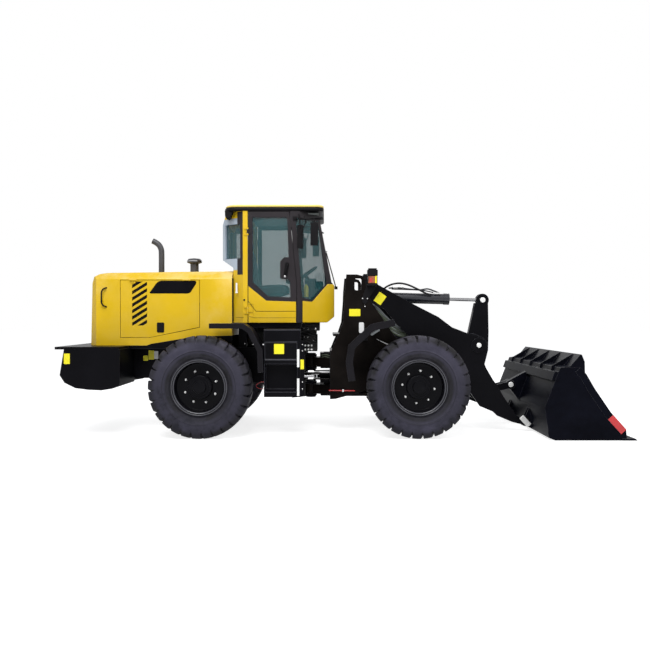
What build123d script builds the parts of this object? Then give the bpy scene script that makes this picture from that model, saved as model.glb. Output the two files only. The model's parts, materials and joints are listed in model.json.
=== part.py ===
from build123d import *
import os
from math import cos, hypot, pi, sin

os.makedirs("parts", exist_ok=True)

# Articulated wheel loader, in millimetres. +X is forward, towards the bucket, +Z is up.
# The ground is Z = 0 and the origin is below the middle of the whole machine.

# ---- Wheels and axles ----
tyre_radius = 600.0
tyre_width = 410.0
rim_seat_radius = 300.0
rim_flange_radius = 328.0
rim_half = 178.0
rim_flange = 12.0
track = 1740.0
wheelbase = 2547.0
rear_axle_x = -1677.0
lug_count = 28
lug_width = 98.0
lug_height = 38.0
hub_radius = 142.0
spindle_radius = 45.0
axle_tube_radius = 88.0
bowl_radius = 185.0
axle_pad_y = 400.0
axle_pad_half = 60.0
front_pad_z = 690.0
rear_pad_z = 712.0

# ---- Articulation, steering and drive shaft ----
pivot_x = -403.0
pivot_pin_radius = 40.0
upper_hinge_z = 840.0
lower_hinge_z = 495.0
hinge_tongue = 120.0
hinge_plate = 30.0
steer_base_x = -1010.0
steer_base_y = 285.0
steer_eye_x = -330.0
steer_eye_y = 215.0
steer_z = 668.0
steer_pin_radius = 14.0
shaft_z = 668.0
shaft_window_radius = 72.0

# ---- Frames and boom, widths ----
rail_inner = 330.0
rail_plate = 30.0
tower_inner_half = 371.0
tower_wall = 23.0
tower_gap = 75.0
boom_centre_y = 420.0
boom_plate = 36.0

# ---- Loader linkage, side view places (X, Z) ----
boom_root = (282.0, 1680.0)
boom_tip = (2254.0, 130.0)
crank_pivot = (1680.0, 1068.0)
crank_top = (1816.0, 1638.0)
crank_low = (1700.0, 430.0)
bucket_eye = (2176.0, 547.0)
lift_base = (200.0, 1090.0)
lift_eye = (1150.0, 930.0)
lift_y = 300.0
pin_radius = 32.0
boom_tip_radius = 62.0
crank_half = 45.0
crank_bearing_half = 80.0
link_bar = 30.0

# ---- Bucket ----
bucket_half = 1125.0
bucket_floor_z = 4.0
bucket_side_plate = 20.0
bucket_shell = 14.0
edge_thickness = 22.0
edge_strip_width = 80.0
edge_strip = 8.0
gusset_count = 5
gusset_pitch = 440.0
gusset_plate = 12.0

# ---- Cylinders: barrel radius, rod radius ----
lift_barrel_radius = 60.0
lift_rod_radius = 29.5
tilt_barrel_radius = 69.0
tilt_rod_radius = 22.0
steer_barrel_radius = 32.0
steer_rod_radius = 18.0
rod_play = 0.5

# ---- Rear bodywork ----
hood_half = 560.0
hood_front_x = -1357.0
hood_skin = 12.0
hood_hinge_xs = (-2560.0, -1910.0)
hood_hinge_y = 574.0
hood_hinge_z = 1868.0
exhaust_x = -2345.0
exhaust_radius = 35.0
exhaust_wall = 4.0
precleaner_x = -1917.0
precleaner_stem = 54.0
fender_half = 1000.0
fender_skin = 8.0
counterweight_front_x = -2603.0
counterweight_top_z = 1040.0
deck_plate = 30.0
tow_pin_x = -3235.0
tow_pin_radius = 25.0
tow_pin_play = 1.0
tail_lamp_radius = 48.0
tail_lamp_y = 478.0

# ---- Step boxes ----
step_inner_half = 610.0
step_outer_half = 930.0
step_front_x = -509.0
step_rear_x = -937.0
step_low_z = 479.0
step_top_z = 1277.0

# ---- Cab ----
cab_half = 640.0
cab_floor_z = 1349.0
cab_skin = 38.0
cab_glass_depth = 16.0
cab_glass_thickness = 6.0
roof_z = 2700.0
roof_half = 655.0
roof_trim_height = 44.0
roof_height = 76.0
window_drop = 100.0
door_plate = 36.0
door_skin = 6.0
door_hinge_x = -1156.0
door_hinge_y = 652.0
door_hinge_low_z = 1500.0
door_hinge_drop = 250.0
platform_half = 595.0
platform_low_z = 1290.0

# ---- Clearances ----
joint_gap = 6.0
pin_play = 1.0
hinge_play = 0.5

# ---- Values worked out from these ----
sides = (-1, 1)
window_top_z = roof_z - window_drop
door_hinge_zs = (door_hinge_low_z, roof_z - door_hinge_drop)
front_axle_x = rear_axle_x + wheelbase
axle_z = tyre_radius
wheel_y = track / 2
tyre_half = tyre_width / 2
tread_base = tyre_radius - lug_height
rail_outer = rail_inner + rail_plate
tower_outer_half = tower_inner_half + tower_wall + tower_gap
boom_inner = boom_centre_y - boom_plate / 2
boom_outer = boom_centre_y + boom_plate / 2
bucket_inner_half = bucket_half - bucket_side_plate


# ---- Helpers ----
def between(middle, direction, near, far):
    # Two distances from a middle value, on one side of it, as rising values.
    first, second = middle + direction * near, middle + direction * far
    return (first, second) if first < second else (second, first)


def pair(side, near, far):
    # Two distances from the machine's middle plane, as rising Y values on one side.
    return between(0, side, near, far)


def side_plate(outline, y_from, y_to, mode=Mode.ADD):
    # A plate whose outline lies in the XZ plane, between two Y values.
    with BuildSketch(Plane.XZ.offset(-y_to)) as profile:
        with BuildLine():
            Polyline(*outline, close=True)
        make_face()
    extrude(profile.sketch, amount=y_to - y_from, mode=mode)


def flat_plate(outline, z_from, z_to, mode=Mode.ADD):
    # A plate whose outline lies in the XY plane, between two Z values.
    with BuildSketch(Plane.XY.offset(z_from)) as profile:
        with BuildLine():
            Polyline(*outline, close=True)
        make_face()
    extrude(profile.sketch, amount=z_to - z_from, mode=mode)


def cross_plate(outline, x_from, x_to, mode=Mode.ADD):
    # A plate whose outline lies in the YZ plane, between two X values.
    with BuildSketch(Plane.YZ.offset(x_from)) as profile:
        with BuildLine():
            Polyline(*outline, close=True)
        make_face()
    extrude(profile.sketch, amount=x_to - x_from, mode=mode)


def cross_pin(place, radius, y_from, y_to, mode=Mode.ADD):
    # A round bar along Y at an (X, Z) place.
    with BuildSketch(Plane.XZ.offset(-y_to)) as disc:
        with Locations(place):
            Circle(radius)
    extrude(disc.sketch, amount=y_to - y_from, mode=mode)


def post(place, radius, z_from, z_to, mode=Mode.ADD):
    # A round bar along Z at an (X, Y) place.
    with BuildSketch(Plane.XY.offset(z_from)) as disc:
        with Locations(place):
            Circle(radius)
    extrude(disc.sketch, amount=z_to - z_from, mode=mode)


def rod(start, end, radius, mode=Mode.ADD):
    # A round bar between two points.
    axis = Vector(*end) - Vector(*start)
    with BuildSketch(Plane(origin=start, z_dir=axis)) as disc:
        Circle(radius)
    extrude(disc.sketch, amount=axis.length, mode=mode)


def block(x_from, x_to, y_from, y_to, z_from, z_to, mode=Mode.ADD):
    # A rectangular block between three pairs of planes.
    with Locations(((x_from + x_to) / 2, (y_from + y_to) / 2, (z_from + z_to) / 2)):
        Box(x_to - x_from, y_to - y_from, z_to - z_from, mode=mode)


def eye_lug(place, radius, foot, y_from, y_to, mode=Mode.ADD):
    # A plate rounded about an eye, with straight flanks that run to its foot line.
    with BuildSketch(Plane.XZ.offset(-y_to)) as profile:
        with Locations(place):
            Circle(radius)
        with BuildLine():
            Polyline(
                (place[0], place[1] + radius * 0.98),
                foot[0],
                foot[1],
                (place[0], place[1] - radius * 0.98),
                close=True,
            )
        make_face()
    extrude(profile.sketch, amount=y_to - y_from, mode=mode)


def along(start, end, distance):
    # The (X, Z) place at a distance from one place towards another.
    span = hypot(end[0] - start[0], end[1] - start[1])
    return (
        start[0] + (end[0] - start[0]) * distance / span,
        start[1] + (end[1] - start[1]) * distance / span,
    )


def inset(points, thickness):
    # The open outline moved sideways by a thickness, with mitred corners.
    moved = []
    for index, point in enumerate(points):
        before = points[max(index - 1, 0)]
        after = points[min(index + 1, len(points) - 1)]
        normals = []
        for first, second in ((before, point), (point, after)):
            span = hypot(second[0] - first[0], second[1] - first[1])
            if span > 0:
                normals.append(((second[1] - first[1]) / span, -(second[0] - first[0]) / span))
        mean_x = sum(normal[0] for normal in normals) / len(normals)
        mean_z = sum(normal[1] for normal in normals) / len(normals)
        size = mean_x**2 + mean_z**2
        moved.append((point[0] + thickness * mean_x / size, point[1] + thickness * mean_z / size))
    return moved


def strip(points, thickness):
    # The closed outline of a bent sheet whose outer line is given.
    return points + inset(points, thickness)[::-1]


def grown(points, centre, amount):
    # The outline's points moved away from a centre along X and Z by an amount.
    moved = []
    for point in points:
        step_x = amount if point[0] > centre[0] else -amount
        step_z = amount if point[1] > centre[1] else -amount
        moved.append((point[0] + step_x, point[1] + step_z))
    return moved


def save(piece, name):
    piece.part.label = name
    export_step(piece.part, f"parts/{name}.step")


# ---- Tyres: one form, set at four places ----
wheels = [
    # name, axle X, side
    ("front_right", front_axle_x, -1),
    ("front_left", front_axle_x, 1),
    ("rear_right", rear_axle_x, -1),
    ("rear_left", rear_axle_x, 1),
]
bead_half = 0.72 * tyre_half
bulge_half = 0.985 * tyre_half
bulge_radius = 460.0
shoulder_half = 0.86 * tyre_half
centre_groove = 12.0
shoulder_drop = 78.0

with BuildPart() as tyre_form:
    with BuildSketch(Plane.YZ) as tyre_section:
        with BuildLine():
            Polyline(
                (-bead_half, rim_seat_radius + 0.3),
                (-bulge_half, bulge_radius),
                (-shoulder_half, tread_base),
                (shoulder_half, tread_base),
                (bulge_half, bulge_radius),
                (bead_half, rim_seat_radius + 0.3),
                close=True,
            )
        make_face()
    revolve(tyre_section.sketch, axis=Axis.Y)
    for side in sides:
        lug_planes = []
        for index in range(lug_count):
            turn = 2 * pi * (index + 0.25 * side) / lug_count
            lug_planes.append(
                Plane(origin=(0, 0, 0), x_dir=(cos(turn), 0, sin(turn)), z_dir=(-sin(turn), 0, cos(turn)))
            )
        with BuildSketch(*lug_planes) as lug_section:
            with BuildLine():
                Polyline(
                    (tread_base - 4, side * centre_groove),
                    (tyre_radius - 2, side * centre_groove),
                    (tyre_radius - 12, side * 0.88 * tyre_half),
                    (tyre_radius - shoulder_drop, side * tyre_half),
                    (tyre_radius - shoulder_drop - 6, side * 0.8 * tyre_half),
                    close=True,
                )
            make_face()
        extrude(lug_section.sketch, amount=lug_width / 2, both=True)

for name, wheel_x, side in wheels:
    with BuildPart() as tyre:
        add(tyre_form.part.moved(Location((wheel_x, side * wheel_y, axle_z))))
    save(tyre, f"tyre_{name}")

# ---- Wheels: rim, dished disc and hub, turned in one section ----
disc_y = 40.0
disc_plate = 18.0
hub_face = disc_y + 84.0
cap_face = disc_y + 118.0
cap_radius = 77.0
well_radius = 262.0

with BuildPart() as wheel_form:
    with BuildSketch(Plane.YZ) as rim_section:
        with BuildLine():
            Polyline(
                (-rim_half, rim_seat_radius - 10),
                (-rim_half, rim_flange_radius),
                (-rim_half + rim_flange, rim_flange_radius),
                (-rim_half + rim_flange, rim_seat_radius),
                (rim_half - rim_flange, rim_seat_radius),
                (rim_half - rim_flange, rim_flange_radius),
                (rim_half, rim_flange_radius),
                (rim_half, rim_seat_radius - 10),
                (disc_y + disc_plate, well_radius + 10),
                (disc_y + disc_plate, hub_radius),
                (hub_face, hub_radius - 6),
                (hub_face, cap_radius),
                (cap_face, cap_radius - 5),
                (cap_face, 0.0),
                (disc_y - 20, 0.0),
                (disc_y - 20, spindle_radius + pin_play),
                (-120.0, spindle_radius + pin_play),
                (-120.0, 130.0),
                (disc_y, hub_radius + 8),
                (disc_y, well_radius),
                (-100.0, rim_seat_radius - 12),
                close=True,
            )
        make_face()
    revolve(rim_section.sketch, axis=Axis.Y)

for name, wheel_x, side in wheels:
    turned = wheel_form.part if side > 0 else mirror(wheel_form.part, about=Plane.XZ, mode=Mode.PRIVATE)
    with BuildPart() as wheel:
        add(turned.moved(Location((wheel_x, side * wheel_y, axle_z))))
    save(wheel, f"wheel_{name}")

# ---- Axles: housings with their differential, hub ends and drive flange ----
axle_end = wheel_y - 120.0 - joint_gap
spindle_end = wheel_y + disc_y - 24
flange_reach = 330.0
bowl_half = 190.0
axles = [
    # name, X, side of the drive flange, height of the frame's seat
    ("front_axle", front_axle_x, -1, front_pad_z),
    ("rear_axle", rear_axle_x, 1, rear_pad_z),
]
for name, axle_x, drive_side, pad_z in axles:
    with BuildPart() as axle:
        rod((axle_x, -axle_end, axle_z), (axle_x, axle_end, axle_z), axle_tube_radius)
        rod((axle_x, -spindle_end, axle_z), (axle_x, spindle_end, axle_z), spindle_radius)
        with BuildSketch(Plane.YZ) as bowl_section:
            with BuildLine():
                Polyline(
                    (-bowl_half, 0),
                    (-bowl_half, 110),
                    (-110, bowl_radius),
                    (110, bowl_radius),
                    (bowl_half, 110),
                    (bowl_half, 0),
                    close=True,
                )
            make_face()
        bowl = revolve(bowl_section.sketch, axis=Axis.Y, mode=Mode.PRIVATE)
        add(bowl.moved(Location((axle_x, 0, axle_z))))
        rod((axle_x, 0, axle_z), (axle_x + drive_side * flange_reach, 0, axle_z), 78.0)
        for side in sides:
            pad_from, pad_to = pair(side, axle_pad_y - axle_pad_half, axle_pad_y + axle_pad_half)
            block(axle_x - 90, axle_x + 90, pad_from, pad_to, axle_z, pad_z)
            rod((axle_x, side * (axle_end - 70), axle_z), (axle_x, side * axle_end, axle_z), 150.0)
    save(axle, name)

# ---- Rear frame: two long rails, cross members and the hinge forks ----
rear_rail = [
    (-2900, 1040),
    (-620, 1040),
    (-620, 420),
    (-760, 420),
    (-900, 600),
    (-1130, 600),
    (-1200, 655),
    (-1420, 655),
    (-1500, rear_pad_z),
    (-1860, rear_pad_z),
    (-1940, 655),
    (-2585, 655),
    (-2700, 700),
    (-2900, 740),
]
cross_members = [
    # X from, X to, Z from, Z to
    (-1500, -1440, 800, 1040),
    (-2640, -2600, 700, 1040),
    (-2900, -2870, 760, 1040),
]
hinge_zs = (upper_hinge_z, lower_hinge_z)
fork_near = hinge_tongue / 2 + joint_gap
fork_far = fork_near + hinge_plate
fork_outline = [
    (-640, -280),
    (pivot_x - 40, -95),
    (pivot_x + 60, -75),
    (pivot_x + 60, 75),
    (pivot_x - 40, 95),
    (-640, 280),
]
steer_lug_gap = 38.0
steer_lug_plate = 20.0
with BuildPart() as rear_frame:
    for side in sides:
        side_plate(rear_rail, *pair(side, rail_inner, rail_outer))
    block(-660, -620, -rail_outer, rail_outer, 420, 1040)
    for x_from, x_to, z_from, z_to in cross_members:
        block(x_from, x_to, -rail_inner, rail_inner, z_from, z_to)
    for side in sides:
        block(-700, -600, *pair(side, 190, 322), steer_z - 56, steer_z + 56, mode=Mode.SUBTRACT)
    rod((-700, 0, shaft_z - 8), (-600, 0, shaft_z - 8), shaft_window_radius, mode=Mode.SUBTRACT)
    for hinge_z in hinge_zs:
        for direction in (-1, 1):
            low, high = between(hinge_z, direction, fork_near, fork_far)
            flat_plate(fork_outline, low, high)
            post((pivot_x, 0), pivot_pin_radius + 35, low, high)
        post((pivot_x, 0), pivot_pin_radius + 22, hinge_z - fork_far - 16, hinge_z + fork_far + 16)
        block(
            pivot_x - 130,
            pivot_x + 130,
            -130,
            130,
            hinge_z - fork_near,
            hinge_z + fork_near,
            mode=Mode.SUBTRACT,
        )
        post((pivot_x, 0), pivot_pin_radius, hinge_z - fork_far, hinge_z + fork_far)
    for side in sides:
        for direction in (-1, 1):
            steer_lug = [
                (steer_base_x - 60, side * rail_inner),
                (steer_base_x - 50, side * (steer_base_y - 45)),
                (steer_base_x + 50, side * (steer_base_y - 45)),
                (steer_base_x + 60, side * rail_inner),
            ]
            low, high = between(steer_z, direction, steer_lug_gap, steer_lug_gap + steer_lug_plate)
            flat_plate(steer_lug, low, high)
        post((steer_base_x, side * steer_base_y), steer_pin_radius, steer_z - 50, steer_z + 50)
save(rear_frame, "rear_frame")

# ---- Sills: a shelf and an upright on each rail, under the hood's lower edge ----
sill_outline = [
    (counterweight_front_x + 3, 1040),
    (counterweight_front_x + 3, 1070),
    (-2400, 1070),
    (-2345, 1090),
    (-1798, 1180),
    (hood_front_x, 1190),
    (hood_front_x, 1040),
]
with BuildPart() as hood_sills:
    for side in sides:
        block(counterweight_front_x + 3, hood_front_x, *pair(side, rail_outer, hood_half), 1028, 1040)
        side_plate(sill_outline, *pair(side, hood_half - 16, hood_half))
save(hood_sills, "hood_sills")

# ---- Front frame: two tower walls a side, cross plates, tongues for the hinge ----
tower_outline = [
    (41, 1942),
    (172, 1942),
    (238, 1925),
    (268, 1880),
    (286, 1799),
    (348, 1602),
    (524, 1350),
    (640, 1180),
    (900, 1000),
    (1130, 900),
    (1150, 740),
    (1060, front_pad_z),
    (640, front_pad_z),
    (420, 560),
    (272, 504),
    (-90, 406),
    (-160, 401),
    (-160, 960),
    (-91, 1130),
    (-46, 1218),
    (-2, 1350),
    (19, 1602),
    (25, 1755),
]
inner_outline = [
    (60, 1800),
    (200, 1830),
    (300, 1780),
    (330, 1640),
    (330, 1450),
    (520, 1180),
    (640, 1050),
    (900, 960),
    (1100, 860),
    (1100, front_pad_z + 10),
    (640, front_pad_z + 10),
    (420, 560),
    (272, 504),
    (-90, 406),
    (-130, 401),
    (-130, 960),
    (-30, 1218),
    (19, 1350),
    (40, 1602),
]
slot_centre = (185.0, 1820.0)
slot_width = 84.0
slot_height = 146.0
tongue_outline = [(-140, -300), (pivot_x + 20, -92), (pivot_x + 20, 92), (-140, 300)]
tower_wall_middle = tower_outer_half - tower_wall / 2
eye_lug_near = 29.0
eye_lug_far = 43.0
with BuildPart() as front_frame:
    for side in sides:
        side_plate(tower_outline, *pair(side, tower_outer_half - tower_wall, tower_outer_half))
        side_plate(inner_outline, *pair(side, tower_inner_half, tower_inner_half + tower_wall))
    with BuildSketch(Plane.XZ.offset(-tower_outer_half - 1)) as hand_slot:
        with Locations(slot_centre):
            RectangleRounded(slot_width, slot_height, 22)
    extrude(hand_slot.sketch, amount=2 * tower_outer_half + 2, mode=Mode.SUBTRACT)
    block(-160, -130, -tower_wall_middle, tower_wall_middle, 401, 1000)
    block(-100, 420, -tower_wall_middle, tower_wall_middle, 440, 470)
    block(640, 1040, -tower_wall_middle, tower_wall_middle, front_pad_z, front_pad_z + 30)
    block(650, 1079, -bowl_half - 15, bowl_half + 15, front_pad_z - 10, front_pad_z + 40, mode=Mode.SUBTRACT)
    block(1080, 1110, -tower_inner_half - 4, tower_inner_half + 4, 720, 860)
    block(-120, 40, -tower_wall_middle, tower_wall_middle, 1180, 1210)
    for side in sides:
        block(420, 640, *pair(side, 396, 444), 640, 700)
    for hinge_z in hinge_zs:
        low, high = hinge_z - hinge_tongue / 2, hinge_z + hinge_tongue / 2
        flat_plate(tongue_outline, low, high)
        post((pivot_x, 0), 92, low, high)
        post((pivot_x, 0), pivot_pin_radius + pin_play, low, high, mode=Mode.SUBTRACT)
    rod((-180, 0, shaft_z - 15), (-100, 0, shaft_z - 15), shaft_window_radius, mode=Mode.SUBTRACT)
    for side in sides:
        for direction in (-1, 1):
            low, high = between(steer_z, direction, eye_lug_near, eye_lug_far)
            eye_plate = [
                (-140, side * 330),
                (steer_eye_x, side * (steer_eye_y + 40)),
                (steer_eye_x, side * (steer_eye_y - 40)),
                (-140, side * 120),
            ]
            flat_plate(eye_plate, low, high)
            post((steer_eye_x, side * steer_eye_y), 42, low, high)
    cross_pin(lift_base, 40, -lift_y + 38, lift_y - 38)
    cross_pin(boom_root, 50, -tower_inner_half, tower_inner_half)
    for side in sides:
        cross_pin(lift_base, pin_radius - pin_play, *pair(side, lift_y - 38, tower_inner_half))
        cross_pin(boom_root, 38, *pair(side, tower_inner_half, tower_outer_half))
save(front_frame, "front_frame")

# ---- Boom: two cranked arms, a cross tube about the crank's pivot ----
boom_outline = [
    (210, 1730),
    (236, 1758),
    (282, 1772),
    (434, 1818),
    (879, 1573),
    (1181, 1419),
    (1353, 1289),
    (1542, 1217),
    (1650, 1196),
    (1760, 1140),
    (1791, 1051),
    (1779, 933),
    (1749, 850),
    (1772, 791),
    (1862, 637),
    (1904, 583),
    (1989, 436),
    (2146, 200),
    (2200, 176),
    (2200, 90),
    (2094, 117),
    (1915, 192),
    (1846, 256),
    (1699, 309),
    (1600, 452),
    (1420, 700),
    (1180, 850),
    (960, 1020),
    (830, 1170),
    (674, 1318),
    (513, 1516),
    (330, 1600),
    (240, 1600),
    (205, 1650),
]
lift_ear_near = lift_y - 52
lift_ear_far = lift_y - 34
lift_foot_x = lift_eye[0] + 20
lift_foot_z = lift_eye[1] + 215
lift_foot = [(lift_foot_x - 80, lift_foot_z), (lift_foot_x + 80, lift_foot_z)]
crank_pin_radius = 46.0
tube_radius = 110.0
tube_near = crank_bearing_half + joint_gap
with BuildPart() as boom:
    for side in sides:
        side_plate(boom_outline, *pair(side, boom_inner, boom_outer))
        cross_pin(boom_tip, boom_tip_radius, *pair(side, boom_inner, boom_outer))
        cross_pin(boom_root, 38 + pin_play, *pair(side, boom_inner, boom_outer), mode=Mode.SUBTRACT)
        cross_pin(crank_pivot, 92, *pair(side, boom_outer, boom_outer + 16))
        cross_pin(crank_pivot, 34, *pair(side, boom_outer, boom_outer + 24))
        cross_pin(crank_pivot, tube_radius, *pair(side, tube_near, boom_inner))
        foot_y = pair(side, lift_ear_near, boom_inner)
        block(lift_foot_x - 70, lift_foot_x + 70, *foot_y, lift_foot_z - 25, lift_foot_z)
        eye_lug(lift_eye, 62, lift_foot, *pair(side, lift_ear_near, lift_ear_far))
        cross_pin(boom_tip, pin_radius, *pair(side, boom_inner - 30, boom_outer + 30))
    cross_pin(crank_pivot, crank_pin_radius, -tube_near, tube_near)
save(boom, "boom")

# ---- Bell crank: a tall waisted plate about the cross tube ----
crank_outline = [
    (1718, 1600),
    (1636, 1220),
    (1560, 1090),
    (1570, 960),
    (1640, 430),
    (1760, 430),
    (1845, 807),
    (1890, 989),
    (1896, 1220),
    (1888, 1600),
]
crank_fork = 30.0
crank_low_bore = 34.0
tilt_pin_radius = 24.0
with BuildPart() as bell_crank:
    side_plate(crank_outline, -crank_half, crank_half)
    cross_pin(crank_top, 82, -crank_half, crank_half)
    cross_pin(crank_low, 62, -crank_half, crank_half)
    cross_pin(crank_pivot, 135, -crank_bearing_half, crank_bearing_half)
    cross_pin(
        crank_pivot,
        crank_pin_radius + pin_play,
        -crank_bearing_half,
        crank_bearing_half,
        mode=Mode.SUBTRACT,
    )
    block(1660, 1980, -crank_fork, crank_fork, 1500, 1760, mode=Mode.SUBTRACT)
    cross_pin(crank_low, crank_low_bore, -crank_half, crank_half, mode=Mode.SUBTRACT)
    cross_pin(crank_top, tilt_pin_radius, -crank_half, crank_half, mode=Mode.SUBTRACT)
    for side in sides:
        cross_pin(crank_top, tilt_pin_radius + 2, *pair(side, crank_fork + 6, crank_half + 10))
save(bell_crank, "bell_crank")

# ---- Bucket link: two bars that straddle the crank's lower eye and the bucket's lug ----
link_near = crank_half + joint_gap
link_far = link_near + link_bar
link_outline = [
    (crank_low[0], crank_low[1] + 46),
    (bucket_eye[0], bucket_eye[1] + 46),
    (bucket_eye[0], bucket_eye[1] - 46),
    (crank_low[0], crank_low[1] - 46),
]
with BuildPart() as bucket_link:
    for side in sides:
        side_plate(link_outline, *pair(side, link_near, link_far))
        cross_pin(crank_low, 60, *pair(side, link_near, link_far))
        cross_pin(bucket_eye, 60, *pair(side, link_near, link_far))
    block(1860, 2040, -link_near - 1, link_near + 1, 470, 500)
    cross_pin(bucket_eye, pin_radius - 2, -link_far, link_far)
save(bucket_link, "bucket_link")

# ---- Bucket: bent shell, side plates, spill guard with gussets, lugs ----
shell_back = [
    (3180, bucket_floor_z),
    (2413, bucket_floor_z),
    (2345, 30),
    (2330, 80),
    (2330, 130),
    (2290, 378),
    (2348, 526),
    (2410, 686),
    (2468, 836),
]
guard_line = [(2585, 852), (2703, 990)]
mouth_line = [
    (2697, 841),
    (2765, 761),
    (2858, 601),
    (3044, 328),
    (3223, 130),
    (3232, bucket_floor_z + edge_thickness),
]
bucket_side = shell_back + mouth_line + [(3180, bucket_floor_z + edge_thickness)]
edge_strip_outline = mouth_line[:5] + inset(mouth_line[:5], edge_strip_width)[::-1]
beam_outline = [(2372, 692), (2408, 790), (2454, 790), (2416, 690)]
gusset_outline = [(2430, 785), (2446, 846), (2692, 986), (2700, 978), (2588, 846), (2474, 830), (2456, 785)]
hinge_lugs = ((boom_inner - 30, boom_inner - 6), (boom_outer + 6, boom_outer + 30))
tip_lug_foot = [(boom_tip[0] + 68, boom_tip[1] + 210), (boom_tip[0] + 96, boom_tip[1] - 90)]
eye_lug_foot = [(bucket_eye[0] + 254, bucket_eye[1] + 193), (bucket_eye[0] + 124, bucket_eye[1] - 217)]
with BuildPart() as bucket:
    for side in sides:
        side_plate(bucket_side, *pair(side, bucket_inner_half, bucket_half - edge_strip))
        side_plate(edge_strip_outline, *pair(side, bucket_inner_half, bucket_half))
    side_plate(strip(shell_back + guard_line, bucket_shell), -bucket_inner_half, bucket_inner_half)
    side_plate(beam_outline, -bucket_inner_half, bucket_inner_half)
    for index in range(gusset_count):
        gusset_y = (index - (gusset_count - 1) / 2) * gusset_pitch
        side_plate(gusset_outline, gusset_y - gusset_plate / 2, gusset_y + gusset_plate / 2)
    for side in sides:
        for near, far in hinge_lugs:
            eye_lug(boom_tip, 60, tip_lug_foot, *pair(side, near, far))
            cross_pin(boom_tip, pin_radius + pin_play, *pair(side, near, far), mode=Mode.SUBTRACT)
    eye_lug(bucket_eye, 58, eye_lug_foot, -crank_half, crank_half)
    cross_pin(bucket_eye, pin_radius - 1, -crank_half, crank_half, mode=Mode.SUBTRACT)
save(bucket, "bucket")

edge_outline = [
    (3180, bucket_floor_z),
    (3180, bucket_floor_z + edge_thickness),
    (3330, bucket_floor_z + edge_thickness),
    (3355, bucket_floor_z),
]
with BuildPart() as cutting_edge:
    side_plate(edge_outline, -bucket_half, bucket_half)
save(cutting_edge, "cutting_edge")


# ---- Lift and tilt cylinders ----
def barrel(start, end, reach, radius, y_middle, eye_radius, eye_half, bore, rod_radius):
    # A barrel with its base eye, gland and ports, along the line between two (X, Z) places.
    gland_length = 70.0
    neck = along(start, end, eye_radius * 0.7)
    gland = along(start, end, reach - gland_length)
    head = along(start, end, reach)
    bore_from = along(start, end, eye_radius + 30)
    bore_to = along(start, end, reach + gland_length)
    rod((neck[0], y_middle, neck[1]), (gland[0], y_middle, gland[1]), radius)
    rod((gland[0], y_middle, gland[1]), (head[0], y_middle, head[1]), radius + 6)
    cross_pin(start, eye_radius, y_middle - eye_half, y_middle + eye_half)
    cross_pin(start, bore, y_middle - eye_half - radius, y_middle + eye_half + radius, mode=Mode.SUBTRACT)
    rod(
        (bore_from[0], y_middle, bore_from[1]),
        (bore_to[0], y_middle, bore_to[1]),
        rod_radius + rod_play,
        mode=Mode.SUBTRACT,
    )


def piston_rod(start, end, radius, y_middle, eye_radius, eye_half, inside):
    # A piston rod that starts inside its barrel and ends in an eye with its pin.
    tail = along(start, end, inside)
    rod((tail[0], y_middle, tail[1]), (end[0], y_middle, end[1]), radius)
    cross_pin(end, eye_radius, y_middle - eye_half, y_middle + eye_half)


lift_reach = 800.0
lift_tail = 98.0
tilt_reach = 1105.0
tilt_tail = 900.0
with BuildPart() as lift_barrels:
    for side in sides:
        barrel(
            lift_base,
            lift_eye,
            lift_reach,
            lift_barrel_radius,
            side * lift_y,
            58,
            34,
            pin_radius,
            lift_rod_radius,
        )
save(lift_barrels, "lift_barrels")

with BuildPart() as lift_rods:
    for side in sides:
        piston_rod(lift_base, lift_eye, lift_rod_radius, side * lift_y, 50, 26, lift_tail)
save(lift_rods, "lift_rods")

with BuildPart() as tilt_barrel:
    barrel(boom_root, crank_top, tilt_reach, tilt_barrel_radius, 0, 82, 58, 50 + pin_play, tilt_rod_radius)
save(tilt_barrel, "tilt_barrel")

with BuildPart() as tilt_rod:
    piston_rod(boom_root, crank_top, tilt_rod_radius, 0, 46, 24, tilt_tail)
save(tilt_rod, "tilt_rod")

# ---- Steering cylinders ----
steer_reach = 465.0
steer_gland = 35.0
steer_tail = 300.0
for name, side in (("right", -1), ("left", 1)):
    base = Vector(steer_base_x, side * steer_base_y, steer_z)
    eye = Vector(steer_eye_x, side * steer_eye_y, steer_z)
    reach = (eye - base).normalized()
    with BuildPart() as steer_barrel:
        rod(base + reach * 30, base + reach * (steer_reach - steer_gland), steer_barrel_radius)
        rod(base + reach * (steer_reach - steer_gland), base + reach * steer_reach, steer_barrel_radius + 4)
        post((base.X, base.Y), 38, steer_z - 32, steer_z + 32)
        bore_end = base + reach * (steer_reach + 15)
        rod(base + reach * 60, bore_end, steer_rod_radius + rod_play, mode=Mode.SUBTRACT)
        post(
            (base.X, base.Y),
            steer_pin_radius + hinge_play,
            steer_z - steer_lug_gap,
            steer_z + steer_lug_gap,
            mode=Mode.SUBTRACT,
        )
    save(steer_barrel, f"steer_barrel_{name}")
    with BuildPart() as steer_rod:
        rod(base + reach * steer_tail, eye, steer_rod_radius)
        post((eye.X, eye.Y), 34, steer_z - 22, steer_z + 22)
    save(steer_rod, f"steer_rod_{name}")

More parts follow.
